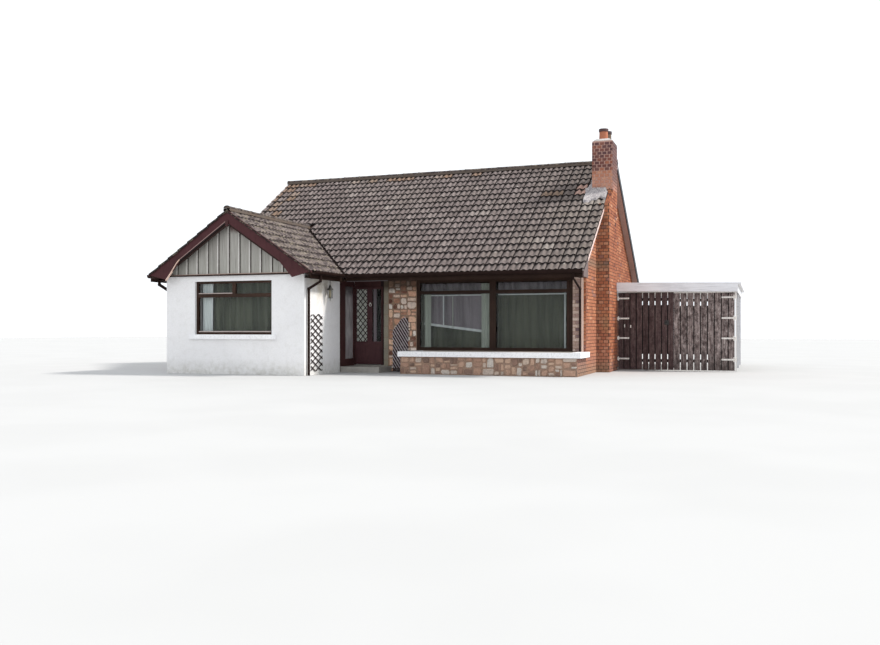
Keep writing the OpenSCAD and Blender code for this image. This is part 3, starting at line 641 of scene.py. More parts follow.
def plain(name, c0, c1, rough=0.6, scale=8.0, strength=0.2, spec=0.4, metal=0.0, extra=None):
    m, nt, b = material(name, rough, metal, spec)
    n = noise(nt, coords(nt), scale, 6, 0.65)
    f = noise(nt, coords(nt), scale * 12, 4, 0.6)
    col = mix(nt, ramp(nt, n, [(0.3, c0), (0.7, c1)]), c0, times(nt, f, 0.3))
    if extra:
        col = extra(nt, col, n)
    finish_colour(nt, b, col)
    bump(nt, b, f, strength, 0.002)
    return m


def glass_material(name="glass", tone=(0.016, 0.020, 0.019), alpha=0.15, veil=None):
    m, nt, b = material(name, 0.03, spec=0.8)
    b.inputs["Alpha"].default_value = alpha
    n = noise(nt, coords(nt), 1.5, 3)
    col = ramp(nt, n, [(0.3, tone), (0.7, tuple(1.6 * t for t in tone))])
    if veil:
        # obscured panes: where they are, and what shows in them
        inside, shade = veil(nt)
        col = mix(nt, col, shade, inside)
        nt.links.new(calc(nt, "MAXIMUM", alpha, inside), b.inputs["Alpha"])
    finish_colour(nt, b, col)
    bump(nt, b, noise(nt, coords(nt), 2.2, 1), 0.05, 0.01)
    return m


def cloth(name, c0, c1, fold_shade=0.55):
    m, nt, b = material(name, 0.95, spec=0.1)
    b.inputs["Sheen Weight"].default_value = 0.15
    warp = noise(nt, coords(nt, (600, 600, 60)), 1.0, 2)
    weft = noise(nt, coords(nt, (60, 60, 600)), 1.0, 2)
    w = calc(nt, "ADD", times(nt, warp, 0.5), times(nt, weft, 0.5))
    col = ramp(nt, w, [(0.35, c0), (0.65, c1)])
    # darker in long vertical bands: a painted shade of the folds
    wide = noise(nt, coords(nt, (5.5, 5.5, 0.35)), 1.0, 3, 0.6)
    col = mix(nt, col, tuple(0.35 * q for q in c0), times(nt, ramp(nt, wide, [(0.36, 1), (0.54, 0)]), fold_shade))
    finish_colour(nt, b, col)
    bump(nt, b, w, 0.3, 0.001)
    return m


BRICK = brick_material()
PIER_BRICK = brick_material(
    "pier_brick",
    [(0.0, (0.17, 0.12, 0.125)), (0.25, (0.28, 0.20, 0.195)), (0.5, (0.42, 0.29, 0.255)), (0.75, (0.55, 0.40, 0.33)), (1.0, (0.66, 0.52, 0.45))],
    place=False,
)


def joint_tones(nt, col, g):
    # pinkish and paler in the stack
    x, y, z = axes(nt)
    front = times(nt, calc(nt, "GREATER_THAN", z, 4.3), calc(nt, "LESS_THAN", y, 2.58 - OY))
    return mix(nt, col, (0.52, 0.32, 0.265), times(nt, front, 0.85))


MORTAR = mortar_material("brick_mortar", (0.048, 0.032, 0.025), (0.110, 0.078, 0.062), extra=joint_tones)


def eaves_and_fan_shade(nt, col, g):
    x, y, z = axes(nt)
    # painted shade: darker under the eaves, and dark on the wall behind the fan of laths
    col = mix(nt, col, (0.06, 0.040, 0.028), times(nt, band(nt, z, 1.84, 2.0), calc(nt, "LESS_THAN", x, -3.0 - OX), 0.85))
    return mix(nt, col, (0.030, 0.022, 0.026), times(nt, behind_fan(nt, x, y, z), 0.9))


STONE_MORTAR = mortar_material("stone_mortar", (0.215, 0.135, 0.095), (0.43, 0.29, 0.21), extra=eaves_and_fan_shade)
PANEL_EDGE = mortar_material("panel_edge", (0.23, 0.21, 0.16), (0.37, 0.33, 0.26), extra=eaves_and_fan_shade)


def specks(nt, col, g):
    s = noise(nt, coords(nt), 24.0, 5, 0.7)
    col = mix(nt, col, (0.115, 0.095, 0.125), times(nt, ramp(nt, s, [(0.38, 1), (0.5, 0)]), 0.75))
    return mix(nt, col, (0.86, 0.82, 0.80), times(nt, ramp(nt, s, [(0.56, 0), (0.68, 1)]), 0.6))


PALE_MORTAR = mortar_material("mortar", (0.30, 0.275, 0.28), (0.54, 0.505, 0.50), 0.9, specks)
FLAUNCH = mortar_material("flaunching", (0.50, 0.47, 0.45), (0.82, 0.78, 0.75), 0.9)
RENDER = render_material()
TILE = tile_material()
WING_TILE = tile_material("wing_tiles", 0.84)
RIDGE_TILE = tile_material("ridge_tile_grey", 0.58)
STONE = stone_material()


MAROON = painted("maroon_timber", (0.045, 0.018, 0.018), (0.075, 0.031, 0.031), 0.5, wear=0.12, dirt_and_shade=(0.13, 0.08, 0.075), spec=0.12)


def shaded_side(nt, col, w):
    # darker where the porch keeps the light away
    x, y, z = axes(nt)
    side = times(nt, calc(nt, "GREATER_THAN", x, -4.835 - OX), calc(nt, "LESS_THAN", x, -4.7 - OX))
    return mix(nt, col, (0.013, 0.008, 0.010), times(nt, side, 0.75))


DOORWOOD = painted("door_timber", (0.062, 0.026, 0.030), (0.092, 0.040, 0.043), 0.42, wear=0.1, dirt_and_shade=(0.14, 0.08, 0.08), spec=0.15, extra=shaded_side)
PORCHWOOD = painted("porch_timber", (0.045, 0.018, 0.018), (0.075, 0.031, 0.031), 0.5, wear=0.12, dirt_and_shade=(0.13, 0.08, 0.075), spec=0.12, extra=shaded_side)
DARKWOOD = painted("dark_timber", (0.024, 0.013, 0.011), (0.042, 0.023, 0.019), 0.6, wear=0.15, dirt_and_shade=(0.08, 0.06, 0.05), spec=0.1)
FASCIA = painted("fascia_timber", (0.020, 0.011, 0.008), (0.033, 0.018, 0.014), 0.6, wear=0.12, dirt_and_shade=(0.085, 0.06, 0.055), spec=0.06)
FRAMES = painted("brown_frames", (0.026, 0.013, 0.009), (0.048, 0.024, 0.016), 0.45, wear=0.15, dirt_and_shade=(0.14, 0.10, 0.08), spec=0.12)


def barge_tones(nt, col, w):
    # the left board's lower edge: a dark painted shade under a pale painted highlight
    x, y, z = axes(nt)
    out = calc(nt, "SUBTRACT", WX - OX, x)
    rise = calc(nt, "SUBTRACT", calc(nt, "ADD", z, calc(nt, "MULTIPLY", out, TP)), WRZ - 0.312)
    zone = times(nt, calc(nt, "GREATER_THAN", out, 0.05), calc(nt, "LESS_THAN", out, 1.25))
    under = times(nt, zone, calc(nt, "LESS_THAN", rise, 0.046))
    line = times(nt, zone, calc(nt, "LESS_THAN", calc(nt, "ABSOLUTE", calc(nt, "SUBTRACT", rise, 0.053)), 0.0085))
    col = mix(nt, col, (0.008, 0.005, 0.005), times(nt, under, 0.9))
    return mix(nt, col, (0.40, 0.27, 0.25), times(nt, line, 0.8))


BARGE = painted("barge_maroon", (0.050, 0.017, 0.019), (0.085, 0.030, 0.033), 0.5, wear=0.15, dirt_and_shade=(0.03, 0.015, 0.015), spec=0.12, extra=barge_tones)


def verge_tones(nt, col, w):
    # front slope pinkish white, its foot a grey-purple painted shade; rear slope a dark grey-blue painted shade on the
    # outer face, over a pink soffit
    x, y, z = axes(nt)
    foot = calc(nt, "LESS_THAN", y, 0.09 - OY)
    col = mix(nt, col, (0.115, 0.070, 0.062), foot)
    rear = calc(nt, "GREATER_THAN", y, RY - OY)
    outer = times(nt, rear, calc(nt, "GREATER_THAN", x, VR - 0.034 - OX))
    col = mix(nt, col, (0.34, 0.25, 0.235), times(nt, rear, 0.8))
    return mix(nt, col, (0.030, 0.033, 0.041), outer)


CREAM = painted("cream_timber", (0.62, 0.44, 0.40), (0.80, 0.62, 0.57), 0.55, grain=(50, 4, 50), wear=0.4, dirt_and_shade=(0.33, 0.24, 0.22), extra=verge_tones)
PALESTRIP = painted("pale_strip", (0.80, 0.55, 0.44), (0.96, 0.71, 0.60), 0.55, grain=(50, 50, 4), wear=0.35, dirt_and_shade=(0.33, 0.24, 0.2))
WHITEWOOD = painted("white_timber", (0.68, 0.68, 0.71), (0.82, 0.82, 0.85), 0.6, grain=(3, 3, 60), wear=0.25, dirt_and_shade=(0.47, 0.43, 0.40))
WHITE = painted("white_paint", (0.85, 0.84, 0.86), (0.93, 0.925, 0.94), 0.6, grain=(40, 40, 40), wear=0.2, dirt_and_shade=(0.5, 0.47, 0.42))
GUTTER = plain("dark_gutter", (0.012, 0.006, 0.005), (0.023, 0.012, 0.010), 0.6, 5, spec=0.06)


def pots_extra(nt, col, n):
    x, y, z = axes(nt)
    rear = calc(nt, "GREATER_THAN", y, 2.906 - OY)
    col = mix(nt, col, (0.085, 0.082, 0.062), times(nt, rear, 0.85))
    return mix(nt, col, (0.055, 0.040, 0.045), times(nt, calc(nt, "GREATER_THAN", z, 5.66), 0.9))


CONCRETE = plain("concrete", (0.27, 0.255, 0.235), (0.40, 0.38, 0.35), 0.9, 6, 0.5, 0.2)


def carport_extra(nt, col, n):
    # boarded and painted white underneath
    x, y, z = axes(nt)
    low = calc(nt, "LESS_THAN", z, 2.0)
    joint = calc(nt, "LESS_THAN", calc(nt, "FRACT", calc(nt, "MULTIPLY", x, 10.0)), 0.06)
    white = mix(nt, (0.74, 0.72, 0.69), (0.25, 0.23, 0.21), joint)
    col = mix(nt, col, white, low)
    edge = times(nt, calc(nt, "GREATER_THAN", x, 3.02 - OX), calc(nt, "LESS_THAN", z, 2.034))
    return mix(nt, col, (0.74, 0.72, 0.70), edge)


FELT = plain("roof_felt", (0.16, 0.155, 0.16), (0.27, 0.26, 0.265), 0.95, 5, 0.7, 0.15, extra=carport_extra)
TERRA = plain("terracotta", (0.30, 0.10, 0.055), (0.46, 0.18, 0.10), 0.8, 9, 0.4, 0.25, extra=pots_extra)
BLACK = plain("black_iron", (0.012, 0.012, 0.012), (0.03, 0.028, 0.026), 0.45, 20)
WHITEIRON = plain("white_iron", (0.66, 0.62, 0.58), (0.84, 0.81, 0.77), 0.5, 25, 0.3)
GREY_RENDER = mortar_material("render_grey", (0.36, 0.29, 0.25), (0.48, 0.40, 0.34))
TRELLIS_LILAC = plain("trellis_lilac", (0.42, 0.36, 0.385), (0.66, 0.59, 0.62), 0.8, 14, 0.4, 0.2)
TRELLIS = plain("trellis_timber", (0.030, 0.022, 0.022), (0.065, 0.050, 0.048), 0.8, 14, 0.4, 0.2)


def side_light(nt):
    # the side light is obscured and pale, with a painted shade towards its head
    x, y, z = axes(nt)
    near_door = times(nt, calc(nt, "GREATER_THAN", y, 0.25 - OY), calc(nt, "LESS_THAN", y, 0.76 - OY), calc(nt, "GREATER_THAN", x, -5.6 - OX))
    n = noise(nt, coords(nt, (9, 9, 3)), 1.0, 4, 0.6)
    pale = ramp(nt, n, [(0.3, (0.25, 0.225, 0.235)), (0.7, (0.42, 0.395, 0.40))])
    pale = mix(nt, pale, (0.035, 0.030, 0.035), times(nt, band(nt, z, 1.72, 1.86), 0.8))
    return near_door, pale


def door_panes(nt):
    # left pane obscured and greenish grey behind its leading; a pale edge in the right one
    x, y, z = axes(nt)
    left = calc(nt, "LESS_THAN", x, -5.1 - OX)
    edge = calc(nt, "LESS_THAN", calc(nt, "ABSOLUTE", calc(nt, "SUBTRACT", x, -4.998 - OX)), 0.036)
    n = noise(nt, coords(nt, (8, 8, 4)), 1.0, 4, 0.6)
    pale = ramp(nt, n, [(0.3, (0.30, 0.315, 0.28)), (0.7, (0.60, 0.62, 0.56))])
    shade = mix(nt, (0.15, 0.125, 0.14), pale, left)
    return calc(nt, "MAXIMUM", left, edge), shade


GLASS = glass_material(veil=side_light)
DOORGLASS = glass_material("door_glass", alpha=0.35, veil=door_panes)


def gate_gap(nt, col, xyz, g):
    # the backing's front lies in the shade of the boards, and its rear is less bleached
    rear = calc(nt, "GREATER_THAN", xyz[1], 3.3235 - OY)
    col = mix(nt, col, (0.055, 0.038, 0.034), times(nt, rear, 0.4))
    gap = times(nt, calc(nt, "GREATER_THAN", xyz[1], 3.3115 - OY), calc(nt, "LESS_THAN", xyz[1], 3.3235 - OY))
    return mix(nt, col, (0.006, 0.005, 0.005), gap)


def gate_grime(nt, col, xyz, g):
    col = mix(nt, col, (0.045, 0.035, 0.032), times(nt, band(nt, xyz[2], 0.55, 0.06), 0.55))
    return gate_gap(nt, col, xyz, g)


def maroon_stain(nt, col, xyz, g):
    # the timber stain has run down the boards from the apex
    r = calc(nt, "ADD", times(nt, band(nt, xyz[2], 3.02, 3.38), near(nt, xyz[0], WX + 0.12 - OX, 0.55), 1.6), times(nt, calc(nt, "SUBTRACT", g, 0.5), 0.8))
    col = mix(nt, col, (0.115, 0.055, 0.055), ramp(nt, r, [(0.25, 0), (0.6, 0.85)]))
    # green-grey towards the foot
    return mix(nt, col, (0.30, 0.31, 0.27), times(nt, band(nt, xyz[2], 2.7, 2.2), 0.25))


GATE_P, GATE_Q = (GATE_M - 0.006 - 0.313 + 0.022) / 9, (2.984 - GATE_M - 0.006 + 0.022) / 9
GATE_DARK = weathered_boards("gate_boards_dark", (0.040, 0.022, 0.022), (0.085, 0.052, 0.052), (0.17, 0.13, 0.12), "x", 0.313 - OX, GATE_P, amount=0.6, extra=gate_gap, blotch=0.45)
GATE = weathered_boards("gate_boards", (0.080, 0.056, 0.054), (0.20, 0.155, 0.147), (0.52, 0.45, 0.43), "x", GATE_M + 0.006 - OX, GATE_Q, amount=0.75, extra=gate_grime, blotch=0.7)
CLAD = weathered_boards("grey_boards", (0.245, 0.232, 0.212), (0.36, 0.345, 0.318), (0.50, 0.485, 0.45), "x", WX0 + 0.05 - OX, 0.2696, amount=0.5, extra=maroon_stain)


def lamp_tones(nt, col, n):
    # dim yellowish panes between black bars under the cap
    x, y, z = axes(nt)
    pane = times(nt, calc(nt, "LESS_THAN", z, 1.862), calc(nt, "GREATER_THAN", z, 1.69))
    ang = calc(nt, "ARCTAN2", calc(nt, "SUBTRACT", y, -0.72 - OY), calc(nt, "SUBTRACT", x, -5.4 - OX))
    bars = calc(nt, "GREATER_THAN", calc(nt, "ABSOLUTE", calc(nt, "SINE", calc(nt, "MULTIPLY", ang, 3.0))), 0.30)
    return mix(nt, col, (0.27, 0.245, 0.17), times(nt, pane, bars))


def post_tones(nt, col, xyz, g):
    # the post at the house is stained dark, the other one is painted white
    return mix(nt, (0.66, 0.64, 0.63), col, calc(nt, "LESS_THAN", xyz[0], 1.0 - OX))


LAMP = plain("lamp_iron", (0.012, 0.012, 0.012), (0.03, 0.028, 0.026), 0.45, 20, spec=0.3, extra=lamp_tones)
GATEPOST = weathered_boards("gate_posts", (0.040, 0.024, 0.020), (0.075, 0.046, 0.038), (0.12, 0.09, 0.08), "z", 0.0, 5.0, amount=0.4, extra=post_tones)
NET = cloth("net_curtain", (0.235, 0.215, 0.235), (0.35, 0.325, 0.35))
DARKNET = cloth("dark_net_curtain", (0.085, 0.098, 0.070), (0.15, 0.165, 0.12))
PALECLOTH = cloth("pale_curtain", (0.77, 0.86, 0.855), (0.87, 0.92, 0.915), 0.12)
SAGECLOTH = cloth("sage_curtain", (0.42, 0.48, 0.41), (0.60, 0.66, 0.58), 0.3)

for node, m in {
    "floor_slab": CONCRETE, "right_gable_wall": MORTAR, "left_gable_wall": MORTAR, "rear_wall": MORTAR,
    "wing_front_wall": RENDER, "wing_left_wall": RENDER, "wing_right_wall": RENDER, "stone_facings": STONE_MORTAR,
    "front_wall": GREY_RENDER, "planter_front_wall": STONE_MORTAR, "planter_end_walls": MORTAR, "planter_coping": WHITE,
    "wing_barge_boards": BARGE, "verge_boards": CREAM, "fascia_boards": FASCIA, "gutters": GUTTER, "downpipes": GUTTER,
    "soffits": DARKWOOD, "window_frames": FRAMES, "window_glass": GLASS, "window_cills": WHITE, "entrance_frame": PORCHWOOD,
    "front_door": DOORWOOD, "front_door_glass": DOORGLASS, "rear_door": MAROON, "chimney_breast": MORTAR,
    "chimney_stack": MORTAR, "chimney_flaunching": FLAUNCH, "chimney_pots": TERRA, "chimney_flashing": PALE_MORTAR,
    "carport_roof": FELT, "carport_fascia": WHITEWOOD, "carport_posts": WHITEWOOD, "gate_posts": GATEPOST,
    "gate_pins": WHITEIRON, "gate_left": GATE_DARK, "gate_left_hinges": WHITEIRON, "gate_right": GATE,
    "gate_right_hinges": WHITEIRON, "lantern": LAMP, "trellises": TRELLIS, "wing_cladding": DARKWOOD,
}.items():
    me = NODE[node].data
    if not me.materials:
        me.materials.append(m)
    for i in range(len(NODE[node].material_slots)):
        NODE[node].material_slots[i].link = "OBJECT"
        NODE[node].material_slots[i].material = m

# ---------------------------------------------------------------- bricks
BL, BH, J = 0.215, 0.065, 0.010


def brick_wall(buf, place, u0, u1, z0, z1, seed, outline=(), holes=(), shift=0, even=0.5, spread=0.2, special=None, bond=None, proud0=0.0065, length=BL, joint=J):
    """Stretcher bond between u0 and u1. outline: half planes (a, b, c) that the
    face keeps; holes: rectangles that it leaves out; bond: where the first brick starts."""
    rnd = random.Random(seed)
    row = 0
    z = z0
    start = u0 if bond is None else bond
    while z < z1 - 0.004:
        off = -(length + joint) / 2 if (row + shift) % 2 else 0.0
        u = start + off
        while u < u1 - 0.004:
            c = min(0.92, max(0.02, rnd.gauss(even, spread)))
            if rnd.random() < 0.03:
                c = 1.0
            if u + length <= u0 + 0.004:
                u += length + joint
                continue
            if special:
                c = special(u, z, c, rnd)
            rects = [(max(u, u0), max(z, z0), min(u + length, u1), min(z + BH, z1))]
            for h in holes:
                nxt = []
                for a in rects:
                    if a[2] <= h[0] or a[0] >= h[2] or a[3] <= h[1] or a[1] >= h[3]:
                        nxt.append(a)
                        continue
                    if a[0] < h[0]:
                        nxt.append((a[0], a[1], h[0], a[3]))
                    if a[2] > h[2]:
                        nxt.append((h[2], a[1], a[2], a[3]))
                    if a[1] < h[1] and a[0] >= h[0] and a[2] <= h[2]:
                        nxt.append((a[0], a[1], a[2], h[1]))
                    if a[3] > h[3] and a[0] >= h[0] and a[2] <= h[2]:
                        nxt.append((a[0], h[3], a[2], a[3]))
                rects = nxt
            for a in rects:
                if a[2] - a[0] < 0.02 or a[3] - a[1] < 0.02:
                    continue
                poly = [(a[0], a[1]), (a[2], a[1]), (a[2], a[3]), (a[0], a[3])]
                for o in outline:
                    poly = clip(poly, *o)
                    if len(poly) < 3:
                        break
                if len(poly) < 3 or area(poly) < 0.0006:
                    continue
                proud = proud0 + rnd.uniform(-0.001, 0.001)
                frustum(buf, poly, place, -0.001, proud, 0.0018, c)
            u += length + joint
        z += BH + J
        row += 1


def face_x(x, s):  # a wall whose outside looks along s*X; u runs along Y
    return lambda u, v, d: P(x + s * d, u, v)


def face_y(y, s):
    return lambda u, v, d: P(u, y + s * d, v)


def roof_lines(lift=0.171):
    # under both slopes: z <= EZ + (y-EY)*TP - lift and the rear one
    return [(-TP, 1.0, EZ - EY * TP - lift), (TP, 1.0, RZ + RY * TP - lift)]


def quoins(u, z, c, rnd):
    # the ends beside the front corner are dark, course after course
    if u < FY + 0.02:
        return min(c, 0.42) * (0.6 if rnd.random() < 0.6 else 1.1)
    return c


b = Buf()
brick_wall(b, face_x(0.0, 1), FY, 8.05, 0.0, 5.1, 1, roof_lines(), holes=[(2.083, 0, 3.243, 4.1)], special=quoins, even=0.58, spread=0.14)
b.make("bricks_right_gable", BRICK, normals=True)

b = Buf()
brick_wall(b, face_x(XL, -1), -0.116, 8.05, 0.0, 5.1, 2, roof_lines())
b.make("bricks_left_gable", BRICK, normals=True)

REAR_OPEN = [(-8.05, 0.9, -6.55), (-5.7, 0.0, -4.8), (-4.1, 1.05, -2.9), (-2.15, 0.9, -0.95)]
b = Buf()
brick_wall(b, face_y(8.05, 1), XL, 0.0, 0.0, 2.35, 3, holes=[(o[0], o[1], o[2], 2.08) for o in REAR_OPEN], shift=1,
           outline=[(0.0, 1.0, top_r(8.05) - 0.171)])
b.make("bricks_rear", BRICK, normals=True)

# the chimney: breast, its sides and the stack, whose lower courses are newer
b = Buf()


def breast_c(u, z, c, rnd):
    if rnd.random() < 0.05:
        return 0.2
    return c


brick_wall(b, face_y(2.083, -1), 0.0, 0.289, 0.0, top_f(2.083) - 0.02, 4, special=breast_c, even=0.74, spread=0.15, length=0.102)
# bricks laid on the slope of the shoulder
brick_wall(b, lambda u, v, d: P(u, 2.083 + v * CP - d * SP, EZ + (2.083 - EY) * TP - 0.021 + v * SP + d * CP), 0.192, 0.289, 0.0, 0.486 / CP, 44, even=0.5, spread=0.22, length=0.102)
brick_wall(b, face_x(0.289, 1), 2.083, 2.569, 0.0, 4.3, 5, shift=1, outline=[(-TP, 1.0, EZ - EY * TP - 0.02)], even=0.6, spread=0.14)
brick_wall(b, face_x(0.289, 1), 2.569, 3.243, 0.0, 5.42, 55, shift=1, bond=2.083, even=0.52, spread=0.16)
brick_wall(b, face_y(3.243, 1), 0.0, 0.289, 0.0, 4.0, 6)


def stack_c(u, z, c, rnd):
    if z < 4.72:
        return min(0.95, 0.66 + 0.28 * rnd.random())
    return rnd.choice((0.02, 0.05, 0.1, 0.16, 0.3, 0.5, 0.62))


brick_wall(b, face_y(2.569, -1), -0.184, 0.289, 4.05, 5.42, 7, special=stack_c, even=0.5, spread=0.3, length=0.098, joint=0.02)
brick_wall(b, face_x(-0.184, -1), 2.569, 3.243, 4.05, 5.42, 8, shift=1, outline=[(TP, -1.0, -(EZ - EY * TP - 0.05))])
brick_wall(b, face_y(3.243, 1), -0.184, 0.289, 4.0, 5.42, 9)
b.make("bricks_chimney", BRICK, normals=True)

b = Buf()


def low_c(u, z, c, rnd):
    return min(0.95, c + 0.18)


brick_wall(b, face_x(0.0, 1), -0.19, FY, 0.0, 0.386, 10, special=low_c)
brick_wall(b, face_x(-3.935, -1), -0.19, FY, 0.0, 0.386, 11)
# front end of the gable's outer leaf, beside the pale strip
brick_wall(b, face_y(FY, -1), -0.048, 0.0, 0.5, 2.13, 12, even=0.52)
b.make("bricks_low_walls", BRICK, normals=True)

# the pier beside the picture window, in thin greyish courses
b = Buf()


def pier_c(u, z, c, rnd):
    return min(1.0, c + 0.3) if u < -0.24 else max(0.0, c - 0.1)


brick_wall(b, face_y(FY - 0.03, -1), -0.279, -0.112, 0.5, 2.13, 22, special=pier_c, bond=-0.44, even=0.5, spread=0.2)
b.make("bricks_pier", PIER_BRICK, normals=True)


# ---------------------------------------------------------------- stones
def rubble(buf, place, u0, u1, v0, v1, size, seed, joint=0.010, proud=(0.005, 0.022), deep=0.0, pale=0.26):
    """Roughly squared stones: the panel is parted again and again at uneven places."""
    rnd = random.Random(seed)
    out = []

    def part(a, b_, c, d):
        w, h = c - a, d - b_
        if w * h < (size * rnd.uniform(0.75, 1.5)) ** 2 or (w < size * 0.85 and h < size * 0.85):
            out.append((a, b_, c, d))
            return
        k = rnd.uniform(0.34, 0.66)
        if w * rnd.uniform(0.7, 1.35) > h * 1.15:
            part(a, b_, a + w * k, d)
            part(a + w * k, b_, c, d)
        else:
            part(a, b_, c, b_ + h * k)
            part(a, b_ + h * k, c, d)

    part(u0, v0, u1, v1)
    for a, b_, c, d in out:
        w, h = c - a, d - b_
        if w < 0.03 or h < 0.03:
            continue
        e = joint / 2
        j = min(0.034, 0.24 * min(w, h))
        poly = []
        corners = [(a, b_, 1, 1), (c, b_, -1, 1), (c, d, -1, -1), (a, d, 1, -1)]
        for n, (u, v, su, sv) in enumerate(corners):
            ju, jv = rnd.uniform(0, j), rnd.uniform(0, j)
            if rnd.random() < 0.62:  # a corner knocked off
                q = rnd.uniform(0.14, 0.38) * min(w, h)
                p1 = (u + su * (e + q), v + sv * (e + jv * 0.4))
                p2 = (u + su * (e + ju * 0.4), v + sv * (e + q))
                poly += [p2, p1] if n % 2 == 0 else [p1, p2]
            else:
                poly.append((u + su * (e + ju), v + sv * (e + jv)))
        t = rnd.random()
        if t < pale:
            shade = rnd.uniform(0.8, 1.0)
        elif t < pale + 0.2:
            shade = rnd.uniform(0.0, 0.2)
        else:
            shade = rnd.uniform(0.25, 0.72)
        frustum(buf, poly, place, -0.001, rnd.uniform(*proud), rnd.uniform(0.006, 0.014), shade)


b = Buf()
rubble(b, face_y(FY, -1), -4.640, -3.935, 0.0, 2.13, 0.145, 29, pale=0.4)
b.make("stones_panel", STONE, normals=True)
b = Buf()
for k in range(8):
    z0 = 2.13 * k / 8
    b.box(P(-4.755, FY - 0.012 - 0.002 * (k % 2), z0 + 0.004), P(-4.645, FY - 0.0005, z0 + 2.13 / 8 - 0.004), bevel=0.004)
b.make("panel_edge_stones", PANEL_EDGE)
b = Buf()
rubble(b, face_y(-0.19, -1), -3.935, 0.0, 0.0, 0.386, 0.15, 23, pale=0.34)
b.make("stones_planter", STONE, normals=True)


# ---------------------------------------------------------------- roof tiles
# interlocking concrete tiles with two low waves each; joints run up the slope
TW, ROWS = 0.2715, 18
WAVE, LOWER, THICK, TILT, GROOVE = 0.026, -0.027, 0.019, 0.019, 0.014
SS = [0.0, 0.05, 0.072, 0.11, 0.17, 0.235, 0.30, 0.36, 0.42, 0.485, 0.55, 0.61, 0.67, 0.735, 0.80, 0.86, 0.92, 0.968, 0.986, 1.0]


def wave(s):
    return 0.5 * (1 - math.cos(4 * math.pi * (s - 0.11)))


def tile_height(s):
    if s < 0.06 or s > 0.99:
        return LOWER - GROOVE
    return LOWER + WAVE * wave(s)


def tiles(buf, O, U, V, N, cols, rows, gauge, seed, colour=None, first=0, wear_and_shade=0.0):
    """One slope. U runs along the eaves, V up the slope, N away from it."""
    rnd = random.Random(seed)
    O, U, V, N = Vector(O), Vector(U), Vector(V), Vector(N)

    def at(u, v, n):
        return tuple(O + U * u + V * v + N * n)

    for j in range(rows):
        for i in range(first, first + cols):
            dz, dv, tw = rnd.uniform(-0.0025, 0.0025), rnd.uniform(-0.005, 0.005), rnd.uniform(-0.003, 0.003)
            c = min(0.78, max(0.05, rnd.gauss(0.5, 0.13)))
            if rnd.random() < 0.012:
                c = 0.815
            if colour:
                c = colour(i, j, c, rnd)
            u0, v0 = i * TW, j * gauge + dv
            top = (j + 1) * gauge
            v1 = top + 0.02 if j < rows - 1 else top
            sh = 0.064 + rnd.uniform(-0.016, 0.016)
            vs = [v0, v0 + 0.012, top - sh - 0.014, top - sh + 0.006, v1]
            rows_, dirt_and_shade = [], []
            low = []
            for k, v in enumerate(vs):
                row, dr = [], []
                for s in SS:
                    groove = s < 0.06 or s > 0.99
                    w = wave(s)
                    h = tile_height(s) + dz + tw * (s - 0.5) - TILT * (v - v0) / gauge
                    row.append(at(u0 + s * TW, v, h))
                    # dirt_and_shade at each point, a painted shade: darker in the grooves and the pans, darkest in the
                    # band under the next course's nose, which wear_and_shade moves
                    d = 0.66 if groove else (0.42 if s in (0.072, 0.986) else 0.30 * (1 - w) ** 2)
                    if k >= 3:
                        d = max(d, (1.0 - w) * 0.9 + 0.42 + wear_and_shade)
                    elif k == 2:
                        d = max(d, (1.0 - w) * 0.5)
                    if k == 0:
                        d = max(d, 0.36)
                    dr.append(d)
                rows_.append(row)
                dirt_and_shade.append(dr)
            for s in SS:
                low.append(at(u0 + s * TW, v0 + 0.004, tile_height(s) + dz + tw * (s - 0.5) - THICK))
            buf.grid(rows_[::-1], c, 0, True, dirt_and_shade[::-1])
            # the nose face and the tile's two sides carry a painted shade
            buf.grid([rows_[0], low], c, 0, False, [[1.0] * len(SS), [1.1] * len(SS)])
            for q in (0, -1):
                e = [r[q] for r in rows_]
                under = [at(u0 + (TW if q else 0), v, LOWER - GROOVE - THICK - TILT * (v - v0) / gauge) for v in (vs[-1], vs[0])]
                ring = e + under
                buf.face(ring if q == 0 else ring[::-1], c, 0, False, 0.9)


up = Vector((0, CP, SP))
nrm = Vector((0, -SP, CP))
L_MAIN = (RY - EY) / CP
g_main = L_MAIN / ROWS
n_main = math.ceil((VR - VL) / TW)  # the last column is cut at the left verge


def colour_main(i, j, c, rnd):
    # columns count from the right verge: new tiles beside the stack, rusty ones under
    # the ridge and along the left verge
    if (i, j) in ((2, 12), (2, 13)):
        return 1.0
    if (i, j) == (3, 3):
        return 0.83
    if (i, j) in ((0, 10), (1, 10), (1, 9)):
        return 0.845
    if j == 17 and i > 12 and rnd.random() < 0.6:
        return rnd.uniform(0.86, 0.93)
    if i > 31 and j > 7 and rnd.random() < 0.5:
        return rnd.uniform(0.86, 0.91)
    if rnd.random() < 0.003:
        return 0.88
    # darker tiles round and to the left of the stack: a painted shadow of the stack
    if i < 6 and j > 10:
        return max(0.0, c - 0.2)
    return c


split = round((VR - WX) / TW)
groups = []
for side, (c0, c1) in (("right", (0, split)), ("left", (split, n_main))):
    b = Buf()
    # laid from the right, so that each tile keeps its wave the right way round
    tiles(b, P(VR - n_main * TW, EY, EZ), (1, 0, 0), up, nrm, c1 - c0, ROWS, g_main, 31 + c0,
          colour=lambda i, j, c, rnd: colour_main(n_main - 1 - i, j, c, rnd), first=n_main - c1)
    groups.append(b.make("tiles_" + side, TILE))
cut(groups[0], P(EX1, EY + 0.05, 0), (-1, -1, 0))
cut(groups[1], P(EX0, EY + 0.05, 0), (1, -1, 0))
cut(groups[1], P(VL, 0, 0), (-1, 0, 0))
main_front = join(groups, "tiles_main_front")
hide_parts("main_roof_front")

b = Buf()
tiles(b, P(VR, REAR, EZ), (-1, 0, 0), Vector((0, -CP, SP)), Vector((0, SP, CP)), n_main, ROWS, g_main, 77)
main_rear = b.make("tiles_main_rear", TILE)
cut(main_rear, P(VL, 0, 0), (-1, 0, 0))
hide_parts("main_roof_rear")

